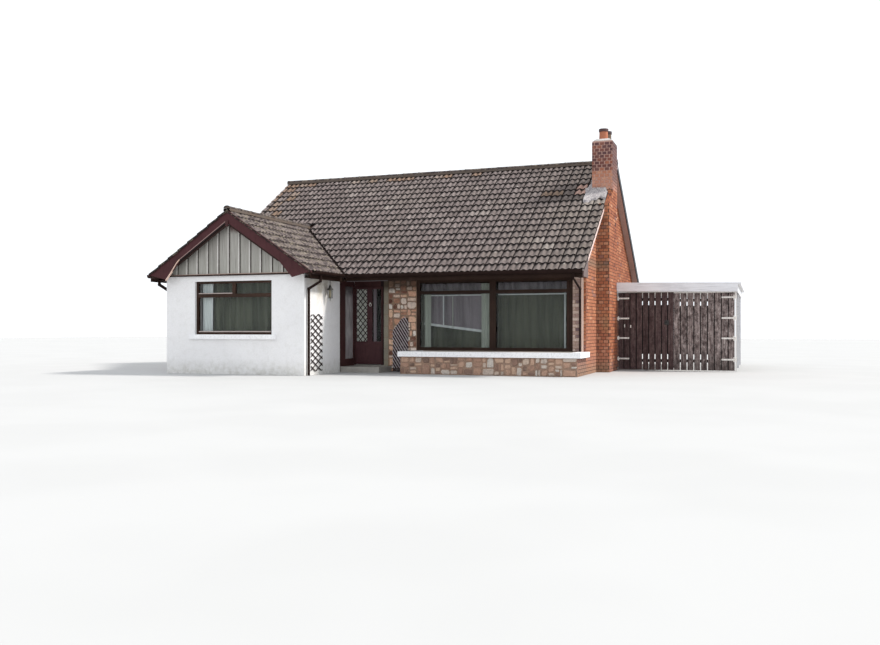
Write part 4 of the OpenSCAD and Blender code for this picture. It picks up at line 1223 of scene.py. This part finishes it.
L_WING = WE / CP
w_rows = 8
wing = []
cols = 14
for s in (-1, 1):
    b = Buf()
    if s > 0:  # right slope: u runs from the front to the back
        tiles(b, P(WX + WE, WTY, EZ), (0, 1, 0), Vector((-CP, 0, SP)), Vector((SP, 0, CP)), cols, w_rows, L_WING / w_rows, 51, wear_and_shade=-0.07)
    else:
        tiles(b, P(WX - WE, WTY + cols * TW, EZ), (0, -1, 0), Vector((CP, 0, SP)), Vector((-SP, 0, CP)), cols, w_rows, L_WING / w_rows, 52)
    o = b.make("tiles_wing_%s" % ("right" if s > 0 else "left"), WING_TILE)
    if s > 0:
        cut(o, P(EX1, EY - 0.05, 0), (1, 1, 0))
    else:
        cut(o, P(EX0, EY - 0.05, 0), (-1, 1, 0))
    wing.append(o)
wing_tiles = join(wing, "tiles_wing")
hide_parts("wing_roof")


# slabs under the tiles: felt, battens and rafters
def prism_obj(name, polys, mat, cuts=()):
    b = Buf()
    for axis, a0, a1, pts in polys:
        if axis == "x":
            b.prism(pts, lambda p, a0=a0: P(a0, p[0], p[1]), lambda p, a1=a1: P(a1, p[0], p[1]))
        elif axis == "y":
            b.prism(pts, lambda p, a0=a0: P(p[0], a0, p[1]), lambda p, a1=a1: P(p[0], a1, p[1]))
        else:
            b.prism(pts, lambda p, a0=a0: P(p[0], p[1], a0), lambda p, a1=a1: P(p[0], p[1], a1))
    o = b.make(name, mat, weld=True, normals=True)
    for co, no in cuts:
        cut(o, co, no, True)
    return o


UT, UB = 0.082, 0.170  # vertical distance of the slab's top and underside below the tile plane
cy = EY + (2.151 + UB - EZ) / TP
front_pts = [(EY + 0.066, top_f(EY + 0.066) - UT), (EY + 0.066, 2.151), (cy, 2.151), (RY, RZ - UB), (RY, RZ - UT)]
rear_pts = [(REAR - 0.066, top_r(REAR - 0.066) - UT), (REAR - 0.066, 2.111), (REAR - 0.07, 2.111), (RY, RZ - UB), (RY, RZ - UT)]
s1 = prism_obj("slab_front_right", [("x", WX, VR - 0.031, front_pts)], DARKWOOD, [(P(EX1, EY, 0), (-1, -1, 0))])
s2 = prism_obj("slab_front_left", [("x", VL + 0.031, WX, front_pts)], DARKWOOD, [(P(EX0, EY, 0), (1, -1, 0))])
s3 = prism_obj("slab_rear", [("x", VL + 0.031, VR - 0.031, rear_pts)], DARKWOOD)
wp = [(WX, WRZ - UT), (WX + WE - 0.066, top_w(WX + WE - 0.066) - UT), (WX + WE - 0.066, 2.109), (WX, WRZ - UB)]
wl = [(2 * WX - x, z) for x, z in wp]
s4 = prism_obj("slab_wing_right", [("y", WTY + 0.049, VALY, wp)], DARKWOOD, [(P(EX1, EY, 0), (1, 1, 0))])
s5 = prism_obj("slab_wing_left", [("y", WTY + 0.049, VALY, wl)], DARKWOOD, [(P(EX0, EY, 0), (-1, 1, 0))])
join([s1, s2, s3, s4, s5], "roof_slabs")

# pointing along the verges, and the undercloak that it lies on
verge_polys = []
for x0, x1 in ((VR - 0.034, VR - 0.003), (VL + 0.003, VL + 0.034)):
    y0 = EY + 0.012 if x0 > WX else EY + (VL - EX0) + 0.05
    verge_polys.append(("x", x0, x1, [(y0, top_f(y0) - 0.075), (RY, RZ - 0.075), (RY, RZ - 0.036), (y0, top_f(y0) - 0.036)]))
    verge_polys.append(("x", x0, x1, [(REAR - 0.012, top_r(REAR - 0.012) - 0.075), (RY, RZ - 0.075), (RY, RZ - 0.036), (REAR - 0.012, top_r(REAR - 0.012) - 0.036)]))
prism_obj("verge_pointing", verge_polys, mortar_material("verge_mortar", (0.22, 0.18, 0.17), (0.40, 0.34, 0.32)))
wv = []
for s in (-1, 1):
    e = WX + s * (WE - 0.012)
    wv.append(("y", WTY + 0.004, WTY + 0.05, [(WX, WRZ - 0.075), (e, top_w(e) - 0.075), (e, top_w(e) - 0.038), (WX, WRZ - 0.038)]))
prism_obj("wing_verge_pointing", wv, MAROON)

# valley gutters under the cut tiles
vb = Buf()
for s in (-1, 1):
    ex = WX + s * WE
    # the left one starts at the main roof's verge
    k0 = (VL + 0.10 - ex) / (WX - ex) if s < 0 else 0
    for w0, w1, dz0, dz1 in ((-0.14, 0.0, -0.050, -0.078), (0.0, 0.14, -0.078, -0.050)):
        pts = []
        for k, w, dz in ((k0, w0, dz0), (1, w0, dz0), (1, w1, dz1), (k0, w1, dz1)):
            x = ex + (WX - ex) * k + s * w * 0.7071
            y = EY + (VALY - EY) * k + w * 0.7071
            pts.append(P(x, y, (EZ + (WRZ - EZ) * k) + dz))
        vb.face(pts if s > 0 else pts[::-1], 0.5)
LEAD = plain("valley_lead", (0.02, 0.017, 0.018), (0.05, 0.045, 0.045), 0.7, 9)
vb.make("valley_gutters", LEAD)


# ---------------------------------------------------------------- ridges
def ridge(buf, start, direction, side, length, seed, unit=0.45, r=0.078, drop=0.026):
    rnd = random.Random(seed)
    n = max(1, round(length / unit))
    unit = length / n
    S, D, W, Z = Vector(start), Vector(direction), Vector(side), Vector((0, 0, 1))
    flat = 0.62  # flatter than a half round, its crest at r - drop
    lift = r - drop - r * flat
    steps = 14
    for k in range(n):
        c = min(0.78, max(0.1, rnd.gauss(0.45, 0.2)))
        dz, tw = rnd.uniform(-0.003, 0.003), rnd.uniform(-0.004, 0.004)
        rings, dirt_and_shade = [], []
        for t, rr in ((0.004, r + 0.003), (0.03, r + 0.003), (0.035, r - 0.004), (unit - 0.004, r - 0.006)):
            ring = []
            for q in range(steps + 1):
                a = math.radians(-12) + math.radians(204) * q / steps
                p = S + D * (k * unit + t) + W * (rr * math.cos(a) + tw) + Z * (rr * flat * math.sin(a) + lift + dz)
                ring.append(tuple(p))
            rings.append(ring)
            dirt_and_shade.append([0.5 if q in (0, steps) else (0.25 if q in (1, steps - 1) else 0.0) for q in range(steps + 1)])
        buf.grid(rings, c, 0, True, dirt_and_shade)
        # mortar joint between two units
        ring2 = []
        for t in (-0.006, 0.008):
            ring2.append([tuple(S + D * (k * unit + t) + W * ((r - 0.003) * math.cos(a)) + Z * ((r - 0.003) * flat * math.sin(a) + lift)) for a in [math.radians(-12 + 204 * q / steps) for q in range(steps + 1)]])
        buf.grid(ring2, 0.5, 1, True)
    # ends closed with mortar
    for t in (0.01, length - 0.01):
        ring = [tuple(S + D * t + W * ((r - 0.006) * math.cos(a)) + Z * ((r - 0.006) * flat * math.sin(a) + lift)) for a in [math.radians(-12 + 204 * q / steps) for q in range(steps + 1)]]
        buf.face(ring if t > 1 else ring[::-1], 0.5, 1)
    # bedding along both feet
    for s in (-1, 1):
        rows = []
        for w, z in ((r - 0.005, lift - 0.008), (r + 0.004, lift - 0.024), (r + 0.010, -0.066)):
            rows.append([tuple(S + D * (length * q / 24) + W * (s * (w + rnd.uniform(-0.004, 0.004))) + Z * (z + rnd.uniform(-0.003, 0.003))) for q in range(25)])
        buf.grid(rows if s > 0 else rows[::-1], 0.5, 1, True)


RIDGE_MORTAR = mortar_material("ridge_mortar", (0.045, 0.034, 0.028), (0.155, 0.115, 0.090))
b = Buf()
ridge(b, P(VL, RY, RZ), (1, 0, 0), (0, 1, 0), VR - VL, 61)
ridge(b, P(WX, WTY + 0.0065, WRZ), (0, 1, 0), (1, 0, 0), VALY + 0.0135 - WTY, 62)
ridges = b.make("ridge_units", [RIDGE_TILE, RIDGE_MORTAR])
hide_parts("ridge_tiles")

# ---------------------------------------------------------------- mortar round the stack
b = Buf()
rnd = random.Random(91)
SY0, SY1, SX0 = 2.569, 3.243, -0.184


def lumpy(x, y):
    """Height of the mortar over the tiles, along the slope's normal."""
    return 0.022 + 0.010 * math.sin(23 * x + 3) * math.cos(19 * y) + rnd.uniform(-0.007, 0.007)


# apron in front of the stack: from its ragged lower edge up against the bricks
nx, ny = 26, 16
rows = []
for j in range(ny + 1):
    row = []
    for i in range(nx + 1):
        x = -0.335 + (VR - 0.004 + 0.335) * i / nx
        low = 2.20 + 0.045 * math.sin(9.0 * x + 1.0) + (0.05 if x > -0.1 else 0.0) + 0.03 * math.sin(31 * x)
        y = low + (SY0 - low) * j / ny
        h = lumpy(x, y) * min(1.0, j / 2.0) - (0.03 if j == 0 else 0.0)
        if j >= ny - 1:
            h += 0.045 * (j - ny + 2)
        if x > VR - 0.03:
            h = min(h, 0.02)
        row.append(P(x, y - h * SP, top_f(y) + h * CP))
    rows.append(row)
b.grid(rows, 0.5, 0, True)
# fillet up the left side
nx, ny = 7, 26
rows = []
for j in range(ny + 1):
    row = []
    for i in range(nx + 1):
        y = SY0 - 0.03 + (3.36 - SY0 + 0.03) * j / ny
        left = -0.345 + 0.055 * max(0.0, (y - SY0) / 0.8) + 0.022 * math.sin(13 * y) + rnd.uniform(-0.008, 0.008)
        right = SX0 - 0.001 if y < SY1 else SX0 - 0.05
        x = left + (right - left) * i / nx
        h = lumpy(x, y) * min(1.0, i / 1.5) - (0.03 if i == 0 else 0.0) + (0.07 if i == nx else (0.03 if i == nx - 1 else 0.0))
        if j == ny:
            h = -0.03
        row.append(P(x, y - h * SP * 0.3, top_f(y) + h))
    rows.append(row)
b.grid(rows, 0.5, 0, True)
flash = b.make("mortar_round_stack", PALE_MORTAR)
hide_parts("chimney_flashing")

# ---------------------------------------------------------------- wing's boards
b = Buf()
bw = (WX1 - WX0) / 13
k0 = WX0 + 0.05 - bw
for k in range(15):
    x0, x1 = max(WX0, k0 + k * bw), min(WX1, k0 + (k + 1) * bw)
    if x1 - x0 < 0.03:
        continue
    yb = WY - 0.026
    xs = [x0 + 0.005, x1 - 0.006]
    if xs[0] < WX < xs[1]:
        xs = [xs[0], WX, xs[1]]
    z0 = 2.192
    # each board leans on the next: its right edge stands proud and carries a painted highlight, and the groove beyond
    # it a painted shade
    lean = [yb - 0.004 - 0.018 * (x - xs[0]) / (xs[-1] - xs[0]) for x in xs]
    tops = [min(top_w(x), 2 * top_w(WX) - top_w(x)) - 0.172 for x in xs]
    for a in range(len(xs) - 1):
        if tops[a] <= z0 or tops[a + 1] <= z0:
            continue
        p, q = (xs[a], lean[a]), (xs[a + 1], lean[a + 1])
        b.face([P(p[0], p[1], z0), P(q[0], q[1], z0), P(q[0], q[1], tops[a + 1]), P(p[0], p[1], tops[a])], 0.5)
    if tops[-1] > z0:
        b.face([P(xs[-1], lean[-1], z0), P(xs[-1], WY - 0.02, z0), P(xs[-1], WY - 0.02, tops[-1]), P(xs[-1], lean[-1], tops[-1])], 0.5, 1)
        # bright arris of the proud edge: a painted highlight
        b.face([P(xs[-1] - 0.026, lean[-1] + 0.0004, z0), P(xs[-1], lean[-1] - 0.0008, z0), P(xs[-1], lean[-1] - 0.0008, tops[-1]), P(xs[-1] - 0.026, lean[-1] + 0.0004, tops[-1])], 0.5, 1)
    if tops[0] > z0:
        b.face([P(xs[0], WY - 0.02, z0), P(xs[0], lean[0], z0), P(xs[0], lean[0], tops[0]), P(xs[0], WY - 0.02, tops[0])], 0.5, 2)
        # dark groove beside the next board: a painted shade
        b.face([P(xs[0] - 0.004, lean[0] - 0.0006, z0), P(xs[0] + 0.019, lean[0] - 0.0016, z0), P(xs[0] + 0.019, lean[0] - 0.0016, tops[0]), P(xs[0] - 0.004, lean[0] - 0.0006, tops[0])], 0.5, 2)
    b.face([P(xs[0], lean[0], z0), P(xs[0], WY - 0.02, z0), P(xs[-1], WY - 0.02, z0), P(xs[-1], lean[-1], z0)], 0.5)
ARRIS_HIGHLIGHT = plain("board_arris_highlight", (0.50, 0.48, 0.45), (0.66, 0.64, 0.61), 0.8, 14, 0.3, 0.2)
GROOVE_SHADE = plain("board_groove_shade", (0.045, 0.038, 0.034), (0.11, 0.098, 0.088), 0.9, 14, 0.3, 0.1)
b.make("cladding_boards", [CLAD, ARRIS_HIGHLIGHT, GROOVE_SHADE])

# trims: drip under the boards, pale strip under the left barge board, a tab at the apex
b = Buf()
b.box(P(WX0 - 0.005, WY - 0.058, 2.160), P(WX1 + 0.005, WY - 0.001, 2.190), bevel=0.004)
b.make("cladding_drip", DARKWOOD)
b = Buf()
b.box(P(WX0 - 0.004, WY - 0.060, 2.191), P(WX1 + 0.004, WY - 0.001, 2.205), bevel=0.003)
b.make("cladding_bead", painted("bead_pink", (0.33, 0.235, 0.20), (0.48, 0.36, 0.31), 0.55, wear=0.3, dirt_and_shade=(0.15, 0.11, 0.09), spec=0.2))
b = Buf()


def under(o):
    return WRZ - 0.312 - o * TP


def strip(buf, pts, t, y0, y1, s, c=0.5):
    for (oa, za), (ob, zb) in zip(pts, pts[1:]):
        poly = [(WX + s * oa, za), (WX + s * ob, zb), (WX + s * ob, zb - t), (WX + s * oa, za - t)]
        buf.prism(poly, lambda p: P(p[0], y0, p[1]), lambda p: P(p[0], y1, p[1]), c)


# a dark fillet under both boards, against the cladding: a piece that paints the shade under them
for s in (-1, 1):
    strip(b, [(0.04, under(0.04)), (0.7, under(0.7)), (1.30 if s < 0 else 1.242, under(1.30 if s < 0 else 1.242))], 0.044, WTY + 0.046, WTY + 0.07, s)
b.make("barge_shade_fillet", DARKWOOD, normals=True)
b = Buf()
strip(b, [(1.225, under(1.225) + 0.052), (1.30, under(1.30) + 0.026), (1.445, 2.258), (1.588, 2.083)], 0.021, WTY, WTY + 0.05, -1)
b.make("barge_strip", PALESTRIP, normals=True)
b = Buf()
b.prism([(WX - 0.035, WRZ - 0.27), (WX + 0.035, WRZ - 0.27), (WX + 0.028, WRZ - 0.395), (WX - 0.028, WRZ - 0.395)],
        lambda p: P(p[0], WTY, p[1]), lambda p: P(p[0], WTY + 0.045, p[1]))
b.make("barge_tab", MAROON, normals=True)
# sloping soffit between the barge board and the boards
b = Buf()
for s in (-1, 1):
    poly = []
    for o, dz in ((0.0, 0.172), (1.97, 0.172), (1.97, 0.184), (0.0, 0.184)):
        poly.append((WX + s * o, WRZ - o * TP - dz))
    b.prism(poly, lambda p: P(p[0], WTY + 0.05, p[1]), lambda p: P(p[0], WY - 0.001, p[1]))
b.make("wing_verge_soffit", DARKWOOD, normals=True)
b = Buf()
R1 = 8.07
poly = [(RY + 0.02, RZ - 0.02 * TP - 0.176), (R1, RZ - (R1 - RY) * TP - 0.176), (R1, RZ - (R1 - RY) * TP - 0.188), (RY + 0.02, RZ - 0.02 * TP - 0.188)]
b.prism(poly, lambda p: P(0.012, p[0], p[1]), lambda p: P(VR - 0.031, p[0], p[1]))
b.make("gable_verge_soffit", painted("pink_soffit", (0.44, 0.30, 0.25), (0.60, 0.43, 0.37), 0.6, grain=(50, 4, 50), wear=0.3, dirt_and_shade=(0.22, 0.15, 0.13), spec=0.15), normals=True)
# pale bead under the fascia over the entrance: a painted highlight on the fascia's lower edge
b = Buf()
b.box(P(EX1 + 0.055, EY + 0.024, 2.050), P(-4.15, EY + 0.0395, 2.066), bevel=0.003)
b.make("fascia_highlight_bead", painted("bead_grey_highlight", (0.060, 0.050, 0.052), (0.10, 0.085, 0.088), 0.5, wear=0.2, dirt_and_shade=(0.1, 0.08, 0.08), spec=0.2))

# ---------------------------------------------------------------- the hanging lamp's brim and cage
b = Buf()
LX, LY = -5.400, -0.720
rows = []
for R, z in ((0.030, 1.915), (0.062, 1.884), (0.074, 1.866), (0.074, 1.858), (0.060, 1.860)):
    rows.append([P(LX + R * math.cos(t), LY + R * math.sin(t), z) for t in [2 * math.pi * q / 24 for q in range(25)]])
b.grid(rows[::-1], 0.5, 0, True)
for q in range(6):
    a = math.pi * (q + 0.5) / 3
    for R0, R1, z0, z1 in ((0.060, 0.047, 1.862, 1.672),):
        ca, sa = math.cos(a), math.sin(a)
        top, foot = (LX + R0 * ca, LY + R0 * sa), (LX + R1 * ca, LY + R1 * sa)
        t = 0.004
        ring = [[P(c[0] + dx * t, c[1] + dy * t, z) for dx, dy in ((-1, -1), (1, -1), (1, 1), (-1, 1), (-1, -1))] for c, z in ((foot, z1), (top, z0))]
        b.grid(ring, 0.5, 0, False)
b.make("lamp_cage", BLACK, normals=True)

# ---------------------------------------------------------------- right corner of the front
b = Buf()
b.box(P(-0.0965, FY - 0.030, 0.5), P(-0.0495, FY - 0.001, 2.129), bevel=0.002)
b.make("corner_strip", PALESTRIP)


# ---------------------------------------------------------------- curtains
def curtain(name, mat, x0, x1, y, z0, z1, folds, depth=0.03, hem=None, seed=3, slope=0.0, side=1):
    """A gathered curtain on a rail: it hangs in waves; hem is a band of another cloth
    at its foot, slope is how far the right end of its foot hangs below the left."""
    rnd = random.Random(seed)
    n, mrow = folds * 10, 14
    rows = []
    amp = [depth * rnd.uniform(0.6, 1.2) for _ in range(folds + 1)]
    for j in range(mrow + 1):
        t = j / mrow
        row = []
        for i in range(n + 1):
            s = i / n
            x = x0 + (x1 - x0) * s
            foot = z0 - slope * s
            if hem:
                t2 = j / (mrow - 1) if j < mrow else 1.0
                z = z1 + (foot + hem - z1) * min(1.0, t2) if j < mrow else foot
            else:
                z = z1 + (foot - z1) * t
            k = s * folds
            a = amp[int(k)] * (1 - (k % 1)) + amp[min(folds, int(k) + 1)] * (k % 1)
            yy = y + side * a * math.sin(2 * math.pi * k + 0.5 * math.sin(3 * s + 2 * t)) * (0.8 + 0.2 * math.sin(3 * t + 5 * s))
            row.append(P(x, yy, z))
        rows.append(row)
    b = Buf()
    if hem:
        b.grid(rows[:-1], 0.5, 0, True)
        b.grid(rows[-2:], 0.5, 1, True)
    else:
        b.grid(rows, 0.5, 0, True)
    mats = [mat, PALECLOTH] if hem else [mat]
    o = b.make(name, mats, weld=True)
    width = sum(math.dist(rows[0][i], rows[0][i + 1]) for i in range(n))
    length = z1 - z0 + max(0.0, slope)
    CURTAINS.append((name, round(width, 2), round(length, 2)))
    return o


b = Buf()
for z0, z1 in ((0.576, 1.794), (1.870, 2.054)):
    b.box(P(-0.424, FY + 0.030, z0), P(-0.358, FY + 0.0485, z1), bevel=0.004)
b.make("casement_stile", FRAMES)
# pale beads on the wing window's bottom rail and transom: a painted highlight on the rails' top edges
b = Buf()
RAIL_HIGHLIGHT = painted("window_rail_highlight", (0.40, 0.33, 0.31), (0.58, 0.50, 0.47), 0.45, wear=0.3, dirt_and_shade=(0.2, 0.15, 0.13), spec=0.3)
b.box(P(-8.218, WY + 0.064, 0.924), P(-6.370, WY + 0.0835, 0.948), bevel=0.003)
b.box(P(-8.218, WY + 0.064, 1.771), P(-7.345, WY + 0.0835, 1.790), bevel=0.003)
b.make("window_rail_highlights", RAIL_HIGHLIGHT)
CURTAINS = []
# wing: a pale curtain at the left, dark nets over the rest
curtain("curtain_wing_left", PALECLOTH, -8.175, -7.905, -1.498, 0.93, 2.02, 3, 0.026, seed=3)
curtain("net_wing", DARKNET, -7.93, -6.33, -1.45, 0.93, 2.02, 9, 0.034, seed=5)
# left picture window: side curtains, a net with a pale sloping hem, a pale rod
curtain("curtain_left_a", SAGECLOTH, -3.78, -3.62, 0.897, 0.56, 1.79, 3, 0.022, seed=7)
curtain("curtain_left_e", DARKNET, -3.88, -3.79, 0.90, 0.56, 1.79, 2, 0.02, seed=8)
curtain("net_left", NET, -3.89, -2.17, 0.955, 1.10, 1.78, 12, 0.018, hem=0.056, seed=9, slope=0.21)
curtain("net_left_low", DARKNET, -3.89, -2.17, 1.0, 0.56, 1.30, 10, 0.022, seed=10)
curtain("curtain_left_b", PALECLOTH, -3.338, -3.306, 0.915, 1.05, 1.78, 1, 0.012, seed=11)
curtain("curtain_left_d", SAGECLOTH, -3.105, -3.085, 0.915, 1.02, 1.78, 1, 0.010, seed=12)
curtain("curtain_left_c", SAGECLOTH, -2.40, -2.18, 0.897, 0.56, 2.03, 3, 0.022, seed=13)
curtain("net_left_top", NET, -3.86, -2.42, 0.955, 1.84, 2.04, 8, 0.045, seed=14)
# right picture window
curtain("net_right", DARKNET, -2.04, -0.36, 0.975, 0.56, 1.78, 10, 0.028, seed=15)
curtain("net_right_top", NET, -2.02, -0.40, 0.955, 1.84, 2.04, 8, 0.045, seed=18)
curtain("curtain_right", PALECLOTH, -0.500, -0.462, 0.90, 0.56, 1.79, 1, 0.018, seed=17)
curtain("pelmet_right", PALECLOTH, -2.02, -0.40, 0.915, 1.757, 1.781, 16, 0.012, seed=19)
curtain("pelmet_left", PALECLOTH, -3.80, -2.18, 0.920, 1.757, 1.781, 16, 0.012, seed=21)
# the rear windows' curtains are drawn
for n, o in enumerate(REAR_OPEN):
    if o[1] > 0:
        curtain("curtain_rear_%d" % (n + 1), SAGECLOTH, o[0] + 0.02, o[2] - 0.02, 7.73, o[1] + 0.02, 2.06, round((o[2] - o[0]) / 0.12), 0.022, seed=30 + n)

# ---------------------------------------------------------------- entrance
b = Buf()
# stop beads in front of the door, fixed to the frame
b.box(P(-5.514, 0.752, 0.151), P(-5.489, 0.7745, 1.995), bevel=0.003)
b.box(P(-4.822, 0.752, 0.151), P(-4.785, 0.7745, 1.995), bevel=0.003)
b.box(P(-5.488, 0.752, 1.963), P(-4.823, 0.7745, 1.995), bevel=0.003)
b.make("door_stops", MAROON)


def lattice_faces(buf, place, outline, p, q, w, d0, d1, c=0.5, m=0, second=0.004, only=0):
    """Crossed laths clipped to a convex outline. p, q: a diamond's width and height."""
    us, vs = [a[0] for a in outline], [a[1] for a in outline]
    u0, u1, v0, v1 = min(us), max(us), min(vs), max(vs)
    L = math.hypot(p, q)
    for s in (only,) if only else (1, -1):
        # lines u/p - s*v/q = k
        n = int((u1 - u0) / p + (v1 - v0) / q) + 3
        base = u0 / p - s * (v0 if s > 0 else v1) / q
        for k in range(-n, n + 1):
            c0 = math.floor(base) + k
            half = w / 2 * L / (p * q)
            poly = list(outline)
            poly = clip(poly, 1 / p, -s / q, c0 + half)
            if len(poly) >= 3:
                poly = clip(poly, -1 / p, s / q, -(c0 - half))
            if len(poly) < 3 or abs(area(poly)) < 1e-5:
                continue
            off = 0.0 if s > 0 or only else second
            buf.prism(poly, lambda a, off=off: place(a[0], a[1], d0 + off), lambda a, off=off: place(a[0], a[1], d1 + off), c, m)


# leaded diamonds in front of the door's left pane, and a rail under them
b = Buf()
lattice_faces(b, face_y(0.801, -1), [(-5.473, 0.70), (-5.195, 0.70), (-5.195, 1.934), (-5.473, 1.934)], 0.128, 0.150, 0.021, 0.0002, 0.004, second=0.0042)
b.make("door_lattice", TRELLIS, "door", normals=True)
b = Buf()
# a moulding round each pane, and a small knocker
for x0, x1 in ((-5.473, -5.195), (-5.063, -4.831)):
    for lo, hi in (((x0 - 0.010, 0.700 - 0.010), (x1 + 0.010, 0.700)), ((x0 - 0.010, 1.934), (x1 + 0.010, 1.944)),
                   ((x0 - 0.010, 0.700), (x0, 1.934)), ((x1, 0.700), (x1 + 0.010, 1.934))):
        b.box(P(lo[0], 0.780, lo[1]), P(hi[0], 0.7855, hi[1]), bevel=0.002)
for z0, z1 in ((0.215, 0.64),):
    b.box(P(-5.45, 0.779, z0), P(-4.85, 0.7855, z1), bevel=0.004)
b.make("door_mouldings", DOORWOOD, "door")


def ring_obj(name, centre, R, r, mat, body, axis="y", arc=360):
    b = Buf()
    rows = []
    for i in range(25):
        a = math.radians(arc * i / 24 - 90)
        row = []
        for j in range(9):
            t = 2 * math.pi * j / 8
            rr = R + r * math.cos(t)
            if axis == "y":
                p = (centre[0] + rr * math.cos(a), centre[1] + r * math.sin(t), centre[2] + rr * math.sin(a))
            else:
                p = (centre[0] + r * math.sin(t), centre[1] + rr * math.cos(a), centre[2] + rr * math.sin(a))
            row.append(p)
        rows.append(row)
    b.grid(rows, 0.5, 0, True)
    return b.make(name, mat, body, weld=True, normals=True)


def knob(buf, c, r, length, n=16, m=0):
    """A turned knob whose axis runs to the front from c."""
    prof = [(0.0, 0.55), (0.1, 0.55), (0.35, 0.5), (0.5, 0.95), (0.7, 1.0), (0.9, 0.75), (1.0, 0.0)]
    rows = []
    for t, k in prof:
        rows.append([(c[0] + r * k * math.cos(2 * math.pi * i / n), c[1] - length * t, c[2] + r * k * math.sin(2 * math.pi * i / n)) for i in range(n + 1)])
    buf.grid(rows, 0.5, m, True)


b = Buf()
knob(b, P(-5.11, 0.785, 1.60), 0.02, 0.02)
b.make("knocker_boss", WHITEIRON, "door", weld=True, normals=True)
ring_obj("knocker_ring", P(-5.11, 0.775, 1.562), 0.03, 0.006, WHITEIRON, "door")

# ---------------------------------------------------------------- trellises
b = Buf()
side_out = [(-1.393, 0.08), (-0.873, 0.08), (-0.873, 1.33), (-1.393, 1.30)]
lattice_faces(b, face_x(WX1, 1), side_out, 0.262, 0.146, 0.026, 0.004, 0.0115, second=0.0076)
fan = [(-4.526, 0.08), (-4.13, 0.08), (-4.13, 1.19), (-4.22, 1.28), (-4.295, 1.238), (-4.51, 0.975), (-4.526, 0.94)]
lattice_faces(b, face_y(FY - 0.020, -1), fan, 0.068, 0.105, 0.017, 0.009, 0.016, m=1, only=-1)
lattice_faces(b, face_y(FY - 0.020, -1), fan, 0.340, 0.525, 0.012, 0.002, 0.0085, m=0, only=1)
tr = b.make("trellis_laths", [TRELLIS, TRELLIS_LILAC], normals=True)
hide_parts("trellises")

# ---------------------------------------------------------------- gates
b = Buf()
for z in (0.282, 0.777, 1.249, 1.732):
    b.box(P(0.312, 3.2825, z - 0.05), P(0.334, 3.2895, z + 0.05), bevel=0.002)
b.make("hinge_ticks_left", WHITEIRON, "gate_l")
b = Buf()
for z in (0.282, 0.777, 1.249, 1.732):
    b.box(P(2.958, 3.2825, z - 0.056), P(2.981, 3.2895, z + 0.056), bevel=0.002)
b.make("hinge_ticks_right", WHITEIRON, "gate_r")
# dark weather strips on the meeting edges
b = Buf()
b.box(P(GATE_M - 0.0058, 3.292, 0.07), P(GATE_M - 0.0030, 3.350, 1.85), bevel=0.0008)
b.make("meeting_strip_left", GATE_DARK, "gate_l")
b = Buf()
b.box(P(GATE_M + 0.0030, 3.292, 0.07), P(GATE_M + 0.0058, 3.350, 1.83), bevel=0.0008)
b.make("meeting_strip_right", GATE_DARK, "gate_r")
ring_obj("latch_ring", P(1.452, 3.2853, 1.130), 0.046, 0.0044, BLACK, "gate_l")
b = Buf()
knob(b, P(1.452, 3.2899, 1.172), 0.034, 0.0085)
b.box(P(1.400, 3.2855, 1.10), P(1.505, 3.2899, 1.20), bevel=0.002)
b.make("latch_plate", BLACK, "gate_l", normals=True)
# two small pale plates on the left leaf
b = Buf()
b.box(P(0.458, 3.2862, 1.035), P(0.478, 3.2897, 1.105), bevel=0.0015)
b.box(P(0.600, 3.2862, 1.025), P(0.624, 3.2897, 1.090), bevel=0.0015)
b.make("small_plates", WHITEIRON, "gate_l")
# screw heads on the straps
b = Buf()
for z in (0.282, 0.777, 1.249, 1.732):
    for x in (0.37, 0.45, 0.54):
        knob(b, P(x, 3.2852, z), 0.006, 0.0035, 10)
b.make("strap_screws_left", BLACK, "gate_l", weld=True)
b = Buf()
for z in (0.282, 0.777, 1.249, 1.732):
    for x in (2.73, 2.82, 2.91):
        knob(b, P(x, 3.2852, z), 0.006, 0.0035, 10)
b.make("strap_screws_right", BLACK, "gate_r", weld=True)

# ---------------------------------------------------------------- floor, light
bpy.ops.mesh.primitive_plane_add(size=160, location=(0, 0, -0.001))
floor = bpy.context.object
floor.name = "stage_floor"
fm, nt, fb = material("stage_floor", 0.9, spec=0.1)
finish_colour(nt, fb, ramp(nt, noise(nt, coords(nt), 0.5, 2), [(0.4, (0.475, 0.475, 0.475)), (0.6, (0.49, 0.49, 0.49))]))
floor.data.materials.append(fm)
floor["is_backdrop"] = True

world = bpy.data.worlds.new("studio")
scene.world = world
world.use_nodes = True
bg = world.node_tree.nodes["Background"]
bg.inputs["Color"].default_value = (0.93, 0.965, 1.0, 1)
bg.inputs["Strength"].default_value = 1.2


def sun(name, direction, strength, angle, colour=(1, 1, 1)):
    l = bpy.data.lights.new(name, "SUN")
    l.energy = strength
    l.angle = math.radians(angle)
    l.color = colour
    o = bpy.data.objects.new(name, l)
    o.rotation_euler = Vector(direction).to_track_quat("Z", "Y").to_euler()
    scene.collection.objects.link(o)
    return o


sun("key", (0.68, 0.2, 0.70), 3.75, 8, (1.0, 0.965, 0.91))
scene.view_settings.view_transform = "Standard"
scene.view_settings.look = "None"

lo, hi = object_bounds()
